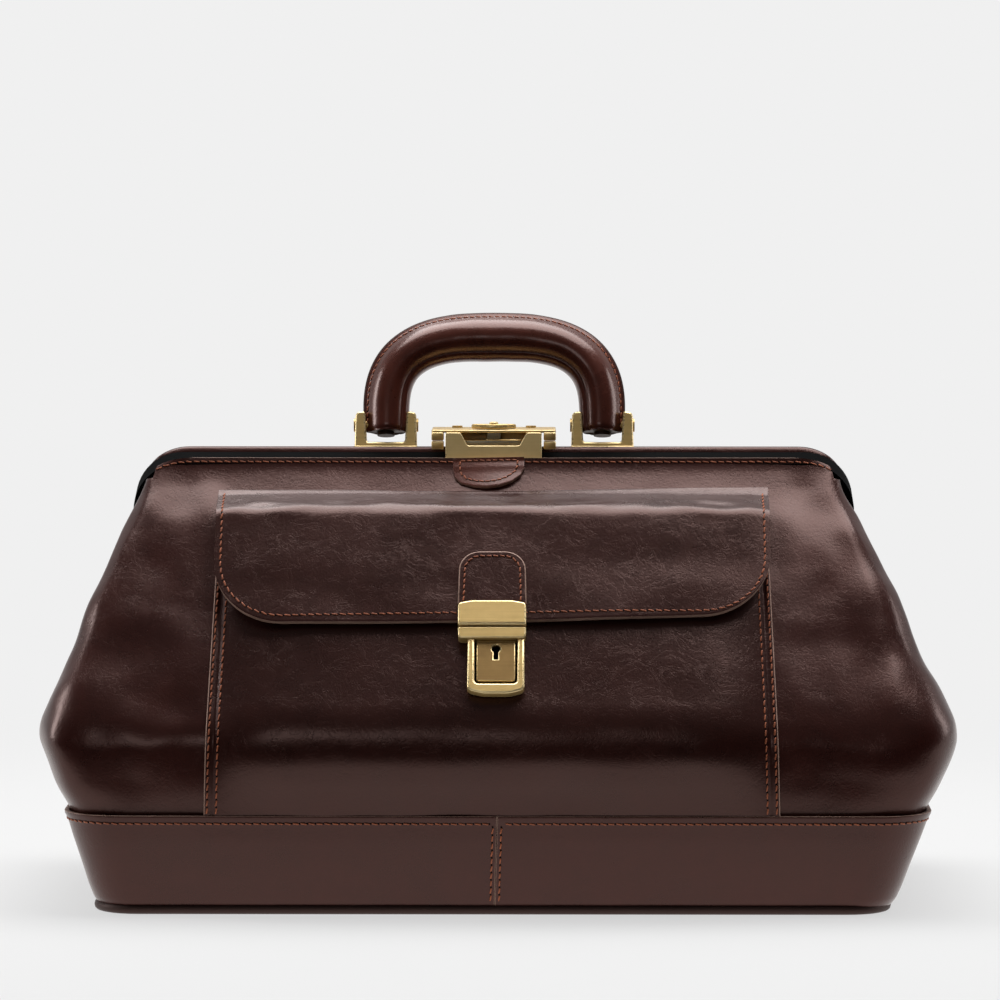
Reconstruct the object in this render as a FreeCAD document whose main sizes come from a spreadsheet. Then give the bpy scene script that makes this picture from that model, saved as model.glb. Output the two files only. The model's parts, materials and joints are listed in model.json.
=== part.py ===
import FreeCAD, Part
import math
import os
import re
import Sketcher

# A framed doctor bag: a stiff leather base, two leather walls that swing outwards on the base's edge,
# and two steel jaws that turn on the walls' top edges and on a pivot at each end.
# X runs along the bag, Y from front (-) to back (+), Z up. The origin is the middle of the base's underside.
# Millimetres throughout.

doc = FreeCAD.newDocument("DoctorBag")
sheet = doc.addObject("Spreadsheet::Sheet", "Sizes")

SIZES = {
    # leather and general
    "leather": 2.4,             # thickness of a wall, the band, the pocket and the flap
    "thin_leather": 1.0,        # covering leather on the back jaw
    "lining": 0.8,
    "gap": 0.3,                 # air between pieces that only lie beside each other
    # base
    "base_long": 356,
    "base_deep": 172,
    "base_corner": 18,
    "welt_radius": 2.2,
    "band_top": 45.5,
    "band_long": 393,
    "band_deep": 196,
    "board": 3.4,
    # walls, in side view
    "foot_offset": 97,          # fold line of a wall on the base
    "wall_low": 46.5,
    "bulge_offset": 100,
    "bulge_height": 81,
    "wall_top_offset": 21.2,
    "wall_top": 193.5,
    "wall_curve": 600,
    # walls and ends, in front view (half widths)
    "bulge_half": 210,
    "ridge_low_half": 188,
    "ridge_half": 197,
    "ridge_top_half": 150,
    # jaws
    "seam_offset": 18,          # fold line between a wall and its jaw
    "seam_height": 197.5,
    "pivot_height": 132,        # end pivot of the two jaws
    "jaw_half": 165,
    "jaw_wide": 16.2,
    "handle_line": 8.75,
    "jaw_bar": 3,
    "jaw_corner": 22,
    "leg_out": 9,               # how far a leg's outer edge leaves the fold line at the pivot
    "eye_radius": 9.5,
    "pivot_pin": 2,
    "pivot_slack": 7.4,         # radius of the back leg's eye
    # handle
    "handle_reach": 50,         # half the distance between the two legs
    "handle_radius": 9.2,
    "handle_rise": 42.5,        # pin to the middle of the grip
    "handle_bend": 28,
    "handle_end": 5,
    "core_radius": 4,
    "pin_radius": 2.2,
    "pin_height": 13.9,         # above the back jaw's bar
    "ear_gap": 9.5,             # half the space between a bracket's ears
    "ear_thick": 4.6,
    "bracket_base": 1.6,
    # top lock
    "lock_half": 28.5,
    "lock_under": 211.2,        # underside of the top plate
    "lock_plate": 1.2,
    "hasp_half": 22,
    "slide_room": 8,
    # pocket, flap and tuck lock
    "pocket_half": 125,
    "pocket_foot_offset": 99.8,
    "pocket_bulge_offset": 113,
    "pocket_bulge_height": 82,
    "pocket_low": 47,
    "mouth_offset": 50,         # outer edge of the pocket's mouth
    "mouth_height": 175,
    "mouth_back_offset": 37.3,
    "flap_half": 122,
    "flap_drop": 54.6,
    "flap_corner": 20,
    "case_half": 12.6,
    "bar_half": 15,
    "button_half": 8.5,
}
for row, (alias, value) in enumerate(SIZES.items(), start=1):
    sheet.set(f"A{row}", alias)
    sheet.set(f"B{row}", str(value))
    sheet.setAlias(f"B{row}", alias)
doc.recompute()


def bind(words):
    """An expression with each size's name turned into a reference to its cell."""
    return re.sub(r"[a-z_]+", lambda m: "Sizes." + m[0] if m[0] in SIZES else m[0], str(words))


def value(words):
    return float(sheet.evalExpression(bind(words)))


JAW_TILT = math.degrees(math.atan2(SIZES["seam_offset"], SIZES["seam_height"] - SIZES["pivot_height"]))
JAW_LENGTH = "sqrt(seam_offset ^ 2 + (seam_height - pivot_height) ^ 2)"
POCKET_TILT = -math.degrees(math.atan2(SIZES["pocket_bulge_offset"] - SIZES["mouth_offset"],
                                       SIZES["mouth_height"] - SIZES["pocket_bulge_height"]))
SHEET_TOP_TILT = -41.6          # lean of a wall at its top edge, in degrees
PARTS = []


# ---------------------------------------------------------------- drawing helpers

def place(thing, y=0, z=0, tilt=0, x=0):
    """Puts a sub-part's own frame at x, y, z, turned about X by tilt degrees."""
    turn = FreeCAD.Rotation(FreeCAD.Vector(1, 0, 0), tilt)
    thing.Placement = FreeCAD.Placement(FreeCAD.Vector(x, y, z), turn)
    return thing


def new_body(label, **where):
    body = doc.addObject("PartDesign::Body", label)
    body.Label = label
    PARTS.append(body)
    return place(body, **where)


def plane(body, role):
    return next(feature for feature in body.Origin.OriginFeatures if feature.Role == role)


def pin_coordinate(sketch, kind, edge, end, words, number):
    """Holds one coordinate of a corner, on the axis when it is nought and by an expression otherwise."""
    if abs(number) < 1e-9:
        axis = -2 if kind == "DistanceX" else -1
        sketch.addConstraint(Sketcher.Constraint("PointOnObject", edge, end, axis))
        return
    index = sketch.addConstraint(Sketcher.Constraint(kind, -1, 1, edge, end, number))
    sketch.setExpression(f"Constraints[{index}]", bind(words))


def add_arc(sketch, start, finish, radius, side):
    """Adds the short arc from start to finish, anticlockwise when side is 1."""
    chord = finish - start
    middle = (start + finish) * 0.5
    left = FreeCAD.Vector(-chord.y, chord.x, 0).normalize()
    height = math.sqrt(max(radius ** 2 - (chord.Length / 2) ** 2, 0))
    centre = middle + left * (height * side)
    first, last = (start, finish) if side > 0 else (finish, start)
    angles = [math.atan2(p.y - centre.y, p.x - centre.x) for p in (first, last)]
    if angles[1] < angles[0]:
        angles[1] += 2 * math.pi
    circle = Part.Circle(centre, FreeCAD.Vector(0, 0, 1), radius)
    return sketch.addGeometry(Part.ArcOfCircle(circle, *angles), False)


def new_sketch(body, role, offset="0"):
    sketch = body.newObject("Sketcher::SketchObject", body.Label + "_sketch")
    sketch.AttachmentSupport = [(plane(body, role), "")]
    sketch.MapMode = "FlatFace"
    sketch.setExpression("AttachmentOffset.Base.z", bind(offset))
    return sketch


def draw(sketch, corners, closed=True):
    """Draws an outline. A corner is (x, y), or (x, y, radius, side) when an arc arrives at it."""
    points = [FreeCAD.Vector(value(c[0]), value(c[1]), 0) for c in corners]
    count = len(points)
    edges = []
    for i in range(count if closed else count - 1):
        corner = corners[(i + 1) % count]
        start, finish = points[i], points[(i + 1) % count]
        if len(corner) == 2:
            sketch.addGeometry(Part.LineSegment(start, finish), False)
            edges.append((1, 2))
        else:
            radius, side = corner[2:]
            add_arc(sketch, start, finish, value(radius), side)
            edges.append((1, 2) if side > 0 else (2, 1))
            index = sketch.addConstraint(Sketcher.Constraint("Radius", i, value(radius)))
            sketch.setExpression(f"Constraints[{index}]", bind(radius))
    for i in range(len(edges) if closed else len(edges) - 1):
        after = (i + 1) % len(edges)
        sketch.addConstraint(Sketcher.Constraint("Coincident", i, edges[i][1], after, edges[after][0]))
    for i, corner in enumerate(corners):
        edge, end = (i, edges[i][0]) if i < len(edges) else (i - 1, edges[i - 1][1])
        pin_coordinate(sketch, "DistanceX", edge, end, corner[0], points[i].x)
        pin_coordinate(sketch, "DistanceY", edge, end, corner[1], points[i].y)
    return sketch


def draw_circle(sketch, x, y, radius):
    centre = FreeCAD.Vector(value(x), value(y), 0)
    edge = sketch.addGeometry(Part.Circle(centre, FreeCAD.Vector(0, 0, 1), value(radius)), False)
    index = sketch.addConstraint(Sketcher.Constraint("Radius", edge, value(radius)))
    sketch.setExpression(f"Constraints[{index}]", bind(radius))
    pin_coordinate(sketch, "DistanceX", edge, 3, x, centre.x)
    pin_coordinate(sketch, "DistanceY", edge, 3, y, centre.y)
    return sketch


def extrude(body, kind, role, low, high, corners=None, circles=()):
    """A Pad or Pocket between two heights along the plane's own axis."""
    along = -1 if role == "XZ_Plane" else 1
    start = low if along > 0 else f"-({high})"
    sketch = new_sketch(body, role, start)
    if corners:
        draw(sketch, corners)
    for circle in circles:
        draw_circle(sketch, *circle)
    feature = body.newObject("PartDesign::" + kind, f"{body.Label}_{kind.lower()}")
    feature.Profile = sketch
    feature.Reversed = kind == "Pocket"
    feature.setExpression("Length", bind(f"({high}) - ({low})"))
    body.Tip = feature
    doc.recompute()
    return feature


def pad(body, role, low, high, corners=None, circles=()):
    return extrude(body, "Pad", role, low, high, corners, circles)


def cut(body, role, low, high, corners=None, circles=()):
    before = body.Shape.Volume
    feature = extrude(body, "Pocket", role, low, high, corners, circles)
    if body.Shape.Volume > before - 1e-6:
        raise RuntimeError(f"a pocket in {body.Label} cuts nothing")
    return feature


def loft(body, kind, sections):
    """A straight-sided loft through (height, corners) sections."""
    sketches = [draw(new_sketch(body, "XY_Plane", height), corners) for height, corners in sections]
    feature = body.newObject("PartDesign::" + kind, f"{body.Label}_loft")
    feature.Profile = sketches[0]
    feature.Sections = sketches[1:]
    feature.Ruled = True
    body.Tip = feature
    doc.recompute()
    return feature


def round_edges(body, radius, choose):
    """Rounds the edges that choose() picks, each given as its bounding box."""
    base = body.Tip
    names = [f"Edge{i}" for i, edge in enumerate(base.Shape.Edges, start=1) if choose(edge.BoundBox)]
    feature = body.newObject("PartDesign::Fillet", body.Label + "_fillet")
    feature.Base = (base, names)
    feature.setExpression("Radius", bind(radius))
    body.Tip = feature
    doc.recompute()
    return feature


def box_corners(half_x, low, high):
    return [(f"-({half_x})", low), (half_x, low), (half_x, high), (f"-({half_x})", high)]


def rounded(half_x, half_y, corner):
    """A rectangle about the middle with round corners."""
    hx, hy, r = f"({half_x})", f"({half_y})", f"({corner})"
    return [
        (f"-{hx} + {r}", f"-{hy}"), (f"{hx} - {r}", f"-{hy}"),
        (hx, f"-{hy} + {r}", corner, 1), (hx, f"{hy} - {r}"),
        (f"{hx} - {r}", hy, corner, 1), (f"-{hx} + {r}", hy),
        (f"-{hx}", f"{hy} - {r}", corner, 1), (f"-{hx}", f"-{hy} + {r}"),
        (f"-{hx} + {r}", f"-{hy}", corner, 1),
    ][1:]


def cylinder(label, radius, length, axis, x="0", y="0", z="0"):
    """A Part::Cylinder that starts at x, y, z and runs along the axis."""
    thing = doc.addObject("Part::Cylinder", label)
    thing.setExpression("Radius", bind(radius))
    thing.setExpression("Height", bind(length))
    turn = FreeCAD.Rotation(FreeCAD.Vector(0, 0, 1), FreeCAD.Vector(*axis))
    thing.Placement = FreeCAD.Placement(FreeCAD.Vector(value(x), value(y), value(z)), turn)
    for name, words in zip("xyz", (x, y, z)):
        if abs(value(words)) > 1e-9:
            thing.setExpression(f"Placement.Base.{name}", bind(words))
    return thing


def group(label, things, **where):
    """Identical fasteners kept together as separate solids in one sub-part."""
    bundle = doc.addObject("Part::Compound", label)
    bundle.Label = label
    bundle.Links = things
    PARTS.append(bundle)
    doc.recompute()
    return place(bundle, **where)


def stepped_pin(label, axis, spot, *steps):
    """One pin as a fusion of cylinders: each step is (radius, start, end) along the axis."""
    sign = sum(axis)
    name = "xyz"[[abs(a) for a in axis].index(1)]
    pieces = []
    for i, (radius, start, end) in enumerate(steps):
        place_at = dict(spot)
        place_at[name] = f"{spot.get(name, '0')} + {sign} * ({start})"
        pieces.append(cylinder(f"{label}_step_{i}", radius, f"({end}) - ({start})", axis, **place_at))
    if len(pieces) == 1:
        return pieces[0]
    pin = doc.addObject("Part::MultiFuse", label)
    pin.Shapes = pieces
    return pin


# ---------------------------------------------------------------- base

def make_base():
    """Outer bottom leather, stiff board, rolled welt and the two halves of the band."""
    panel = new_body("base_panel")
    inner_long = "base_long / 2 - 2.5 * welt_radius"
    inner_deep = "base_deep / 2 - 2.5 * welt_radius"
    pad(panel, "XY_Plane", "0", "leather", rounded(inner_long, inner_deep, "base_corner - 3"))

    board = new_body("base_board")
    board_outline = rounded("base_long / 2 - 8", "base_deep / 2 - 8", "base_corner - 3")
    pad(board, "XY_Plane", "leather + gap", "leather + gap + board", board_outline)

    cover = new_body("base_lining")
    cover_low = "leather + 2 * gap + board"
    pad(cover, "XY_Plane", cover_low, f"{cover_low} + lining", board_outline)

    welt = new_body("base_welt")
    path = draw(new_sketch(welt, "XY_Plane", "welt_radius"),
                rounded("base_long / 2 - welt_radius", "base_deep / 2 - welt_radius", "base_corner"))
    ring = draw_circle(new_sketch(welt, "YZ_Plane"), "-(base_deep / 2 - welt_radius)", "welt_radius", "welt_radius")
    pipe = welt.newObject("PartDesign::AdditivePipe", "base_welt_pipe")
    pipe.Profile = ring
    pipe.Spine = path
    welt.Tip = pipe
    doc.recompute()

    for label, side in (("base_band_left", -1), ("base_band_right", 1)):
        band = new_body(label)
        low, top = "2 * welt_radius + gap", "band_top"
        outer = [(low, rounded("base_long / 2", "base_deep / 2", "base_corner")),
                 (top, rounded("band_long / 2", "band_deep / 2", "base_corner"))]
        inner = [(low, rounded("base_long / 2 - leather", "base_deep / 2 - leather", "base_corner - leather")),
                 (top, rounded("band_long / 2 - leather", "band_deep / 2 - leather", "base_corner - leather"))]
        loft(band, "AdditiveLoft", outer)
        loft(band, "SubtractiveLoft", inner)
        far = f"{-side} * band_long"
        near = f"{side} * gap / 2"
        edge = [(far, "-band_deep"), (near, "-band_deep"), (near, "band_deep"), (far, "band_deep")]
        cut(band, "XY_Plane", "0", "band_top + 1", edge)


def make_gusset(label, side):
    """One end of the bag: full at the bulge and folded inwards above it."""
    gusset = new_body(label)

    def section(ridge_x, ridge_y, side_x, side_y, fold_x):
        outer = [(ridge_x, -ridge_y), (side_x, -side_y), (fold_x, 0), (side_x, side_y), (ridge_x, ridge_y)]
        inner = [(x, y) for x, y in reversed(outer)]
        around = [(f"{side} * ({x})", y) for x, y in outer]
        return around + [(f"{side} * ({x} - leather)", y) for x, y in inner]

    loft(gusset, "AdditiveLoft", [
        ("wall_low + 0.5", section(184, 92.5, "band_long / 2", 79, "band_long / 2")),
        ("bulge_height", section(193, 95, "bulge_half - 4", 82, "bulge_half")),
        (118, section(178, 72, 186, 62, 150)),
        (180, section(151, 27.5, 155.5, 22, 131)),
    ])


# ---------------------------------------------------------------- walls

def make_wall(name, side):
    """Outer leather and lining of the front (side -1) or back (side 1) wall."""
    def profile(shift, low, top_extra):
        top_y = f"{side} * (wall_top_offset - ({shift}))"
        bulge_y = f"{side} * (bulge_offset - ({shift}))"
        return [(f"{side} * (foot_offset - ({shift}))", low), (bulge_y, "bulge_height"),
                (top_y, f"wall_top - {top_extra}", "wall_curve", side)]

    def sheet_of(label, outside, thick, low, top_extra, inset):
        body = new_body(label)
        outer = profile(outside, low, top_extra)
        back = profile(f"{outside} + {thick}", low, top_extra)
        start = back[2][:2]
        middle = (*back[1][:2], "wall_curve", -side)
        outline = outer + [start, middle, back[0][:2]]
        pad(body, "YZ_Plane", "-ridge_half", "ridge_half", outline)
        for flank in (-1, 1):
            edge = [("ridge_low_half", low), ("ridge_half", "bulge_height"),
                    ("ridge_top_half", "wall_top"), ("ridge_top_half", "wall_top + 5"),
                    ("ridge_half + 20", "wall_top + 5"), ("ridge_half + 20", f"{low} - 1"),
                    ("ridge_low_half", f"{low} - 1")]
            corners = [(f"{flank} * ({x} - {inset})", z) for x, z in edge]
            cut(body, "XZ_Plane", "-110", "110", corners)

    sheet_of(f"{name}_panel", "0", "1.17 * leather", "wall_low", "0", "0")
    sheet_of(f"{name}_lining", "1.17 * leather + 0.1", "lining", "wall_low + 1", "3", "12")


# ---------------------------------------------------------------- jaws

def make_jaw(label, side, half):
    """A flat steel bar bent into a U, its legs narrowing to an eye at the end pivot."""
    jaw = new_body(label, z=SIZES["pivot_height"], tilt=-side * JAW_TILT)
    top, corner = JAW_LENGTH, "jaw_corner"
    inner_corner = "jaw_corner - jaw_bar"
    inner = f"({half} - jaw_bar)"
    outline = [
        (f"-({half})", "-eye_radius"), (f"-{inner}", "-eye_radius"),
        (f"-{inner}", f"{top} - {corner}"), (f"-({half}) + {corner}", f"{top} - jaw_bar", inner_corner, -1),
        (f"({half}) - {corner}", f"{top} - jaw_bar"), (inner, f"{top} - {corner}", inner_corner, -1),
        (inner, "-eye_radius"), (half, "-eye_radius"),
        (half, f"{top} - {corner}"), (f"({half}) - {corner}", top, corner, 1),
        (f"-({half}) + {corner}", top), (f"-({half})", f"{top} - {corner}", corner, 1),
    ]
    reach = [f"{side} * eye_radius", f"-{side} * jaw_wide"]
    low, high = reach if side < 0 else reversed(reach)
    pad(jaw, "XZ_Plane", low, high, outline)
    outer_edge = [(f"{side} * leg_out", "0"), ("0", top), (f"{side} * 20", top), (f"{side} * 20", "-20"),
                  (f"{side} * leg_out", "-20")]
    inner_edge = [(f"-{side} * leg_out", "0"), (f"-{side} * jaw_wide", f"{top} - jaw_bar"),
                  (f"-{side} * 30", f"{top} - jaw_bar"), (f"-{side} * 30", "-20"),
                  (f"-{side} * leg_out", "-20")]
    for corners in (outer_edge, inner_edge):
        cut(jaw, "YZ_Plane", "-jaw_half - 1", "jaw_half + 1", corners)
    hole = "pivot_pin" if side < 0 else "pivot_slack"
    cut(jaw, "YZ_Plane", "-jaw_half - 1", "jaw_half + 1", circles=[("0", "0", hole)])
    return jaw


def make_jaws():
    make_jaw("front_jaw_frame", -1, "jaw_half")
    back_half = "(jaw_half - jaw_bar - 1)"
    make_jaw("back_jaw_frame", 1, back_half)
    pins = []
    for name, sign in (("left", -1), ("right", 1)):
        inner, outer = f"{back_half} - jaw_bar", "jaw_half"
        steps = [("pivot_pin", inner, outer), ("eye_radius - 0.6", f"{inner} - 1.6", f"{inner} - 0.2"),
                 ("pivot_pin", f"{inner} - 0.3", inner), ("2.4 * pivot_pin", outer, f"{outer} + 1.4")]
        pins.append(stepped_pin(f"end_pivot_{name}", (sign, 0, 0), {}, *steps))
    group("end_pivot_pins", pins, z=SIZES["pivot_height"])

    cover = new_body("back_jaw_cover", z=SIZES["pivot_height"], tilt=-JAW_TILT)
    reach = f"{back_half} - jaw_corner"
    over, lip = f"{JAW_LENGTH} + thin_leather", "jaw_wide + thin_leather"
    wrap = [("-jaw_wide", JAW_LENGTH), ("0", JAW_LENGTH), ("0", over), (f"-({lip})", over),
            (f"-({lip})", f"{JAW_LENGTH} - jaw_bar"), ("-jaw_wide", f"{JAW_LENGTH} - jaw_bar")]
    pad(cover, "YZ_Plane", f"-({reach})", reach, wrap)


# ---------------------------------------------------------------- top lock

def make_lock():
    """Hasp on the front jaw; case, cover plate and sliding bolt on the back jaw."""
    hasp = new_body("hasp_plate", z=SIZES["pivot_height"], tilt=JAW_TILT)
    foot = f"{JAW_LENGTH} + 0.1"
    profile = [("0.2", foot), ("13", foot), ("13", f"{foot} + 1.2"), ("3.4", f"{foot} + 1.2"),
               ("11.3", f"{foot} + 9.4"), ("10.3", f"{foot} + 10.4")]
    pad(hasp, "YZ_Plane", "-hasp_half", "hasp_half", profile)
    window = [("-11.7", f"{foot} + 5.2"), ("11.7", f"{foot} + 5.2"), ("14.6", f"{foot} + 11"),
              ("-14.6", f"{foot} + 11")]
    cut(hasp, "XZ_Plane", "-1", "14", window)
    studs = []
    for name, x in (("left", "-hasp_half + 4"), ("right", "hasp_half - 4")):
        spot = {"x": x, "y": "11", "z": JAW_LENGTH}
        studs.append(stepped_pin(f"hasp_rivet_{name}", (0, 0, 1), spot, ("1.2", "-jaw_bar", "1.3"),
                                 ("2", "1.3", "1.9")))
    group("hasp_rivets", studs, z=SIZES["pivot_height"], tilt=JAW_TILT)

    case = new_body("lock_case")
    under = "lock_under"
    slope = "(seam_offset / (seam_height - pivot_height))"
    deck = "seam_height + 1.7"
    block = [("2", f"{deck} + 16 * {slope}"), ("16", f"{deck} + 2 * {slope}"), ("16", under), ("2", under)]
    pad(case, "YZ_Plane", "-hasp_half", "hasp_half", block)
    round_edges(case, "1.5", lambda b: b.ZLength > 5 and b.XLength < 0.1 and b.YMin > 10)

    plate = new_body("lock_top_plate")
    pad(plate, "XY_Plane", under, f"{under} + lock_plate", [
        ("-lock_half", "-11.5"), ("lock_half", "-11.5"), ("lock_half", "14"), ("-lock_half", "14")])
    slot = [("-3.5", "-9.5"), ("3.5 + slide_room", "-9.5"), ("3.5 + slide_room", "-3.5"), ("-3.5", "-3.5")]
    cut(plate, "XY_Plane", f"{under} - 1", f"{under} + lock_plate + 1", slot)
    for sign in (-1, 1):
        ends = sorted((f"{sign} * (lock_half - 5)", f"{sign} * lock_half"), key=value)
        knuckle = [("-11.5", "203.4"), ("-7.5", "203.4"), ("-7.5", under), ("-11.5", under)]
        pad(plate, "YZ_Plane", *ends, knuckle)
    round_edges(plate, "0.8", lambda b: b.XLength > 4.9 and b.XLength < 5.1 and b.ZMax < 204)

    screws = []
    for name, x in (("left", "-hasp_half + 5"), ("right", "hasp_half - 5")):
        spot = {"x": x, "y": "10", "z": under}
        screws.append(stepped_pin(f"lock_screw_{name}", (0, 0, 1), spot, ("1.3", "-6", "lock_plate"),
                                  ("2.4", "lock_plate", "lock_plate + 0.8")))
    group("lock_screws", screws)

    bolt = new_body("lock_bolt")
    pad(bolt, "XY_Plane", "204.6", "208", [("-13", "-9.4"), ("13", "-9.4"), ("13", "-4.4"), ("-13", "-4.4")])
    pad(bolt, "XY_Plane", "208", "lock_under + lock_plate + 0.3", [
        ("-3", "-8.6"), ("3", "-8.6"), ("3", "-4.4"), ("-3", "-4.4")])

    thumb = new_body("lock_thumb", z=SIZES["lock_under"] + SIZES["lock_plate"] + SIZES["gap"])
    lens = [("-10", "-5.5"), ("10", "-5.5", "13", 1), ("-10", "-5.5", "13", 1)][1:]
    pad(thumb, "XY_Plane", "0", "2.2", lens)
    pad(thumb, "XY_Plane", "2.2", "3.2", circles=[("0", "-5.5", "2")])


# ---------------------------------------------------------------- handle and its brackets

def make_handle():
    pivot = FreeCAD.Vector(0, 0, value(JAW_LENGTH) + SIZES["pin_height"])
    pivot.y = -SIZES["handle_line"]
    world = FreeCAD.Rotation(FreeCAD.Vector(1, 0, 0), -JAW_TILT).multVec(pivot)
    at_pin = {"y": world.y, "z": world.z + SIZES["pivot_height"], "tilt": -JAW_TILT}

    def grip_path(body):
        rise, bend, reach = "handle_rise", "handle_bend", "handle_reach"
        return draw(new_sketch(body, "XZ_Plane"), [
            (f"-{reach}", "-handle_end"), (f"-{reach}", f"{rise} - {bend}"),
            (f"-{reach} + {bend}", rise, bend, -1), (f"{reach} - {bend}", rise),
            (reach, f"{rise} - {bend}", bend, -1), (reach, "-handle_end")], closed=False)

    def pipe(body, kind, radius):
        ring = draw_circle(new_sketch(body, "XY_Plane", "-handle_end"), "-handle_reach", "0", radius)
        feature = body.newObject("PartDesign::" + kind, f"{body.Label}_{radius}")
        feature.Profile = ring
        feature.Spine = grip_path(body)
        body.Tip = feature
        doc.recompute()

    grip = new_body("handle_cover", **at_pin)
    pipe(grip, "AdditivePipe", "handle_radius")
    pipe(grip, "SubtractivePipe", "core_radius + 0.1")
    edge = "handle_reach + handle_radius + 1"
    cut(grip, "YZ_Plane", f"-({edge})", edge, circles=[("0", "0", "pin_radius + 0.06")])

    core = new_body("handle_core", **at_pin)
    pipe(core, "AdditivePipe", "core_radius")
    cut(core, "YZ_Plane", f"-({edge})", edge, circles=[("0", "0", "pin_radius + 0.06")])

    pins, rivets = [], []
    for label, sign in (("left", -1), ("right", 1)):
        bracket = new_body(f"bracket_{label}", **at_pin)
        centre = f"{sign} * handle_reach"
        deck = "thin_leather + 0.1 - pin_height"
        half = "(ear_gap + ear_thick)"
        foot = [(f"{centre} - {half}", "-6"), (f"{centre} + {half}", "-6"),
                (f"{centre} + {half}", "6"), (f"{centre} - {half}", "6")]
        pad(bracket, "XY_Plane", deck, f"{deck} + bracket_base", foot)
        ear = [("-5", f"{deck} + bracket_base"), ("5", f"{deck} + bracket_base"), ("3.8", "0.5"),
               ("-3.8", "0.5", "3.9", 1)]
        for near, far in ((f"{centre} - {half}", f"{centre} - ear_gap"),
                          (f"{centre} + ear_gap", f"{centre} + {half}")):
            pad(bracket, "YZ_Plane", near, far, ear)
        cut(bracket, "YZ_Plane", f"{centre} - {half} - 1", f"{centre} + {half} + 1",
            circles=[("0", "0", "pin_radius")])
        start = {"x": f"{centre} - {half} - 0.8"}
        pins.append(stepped_pin(f"handle_pin_{label}", (1, 0, 0), start,
                                ("pin_radius + 0.9", "0", "0.8"), ("pin_radius", "0.8", f"2 * {half} + 0.8"),
                                ("pin_radius + 0.9", f"2 * {half} + 0.8", f"2 * {half} + 1.6")))
        for shift in (-5.5, 5.5):
            spot = {"x": f"{centre} + {shift}", "z": f"{deck} + bracket_base"}
            rivets.append(stepped_pin(f"bracket_rivet_{label}_{int(shift > 0)}", (0, 0, 1), spot,
                                      ("1.4", "-bracket_base - thin_leather - jaw_bar", "0"),
                                      ("2.2", "0", "0.4")))
    group("handle_pins", pins, **at_pin)
    group("bracket_rivets", rivets, **at_pin)


# ---------------------------------------------------------------- pocket, flap and tuck lock

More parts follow.
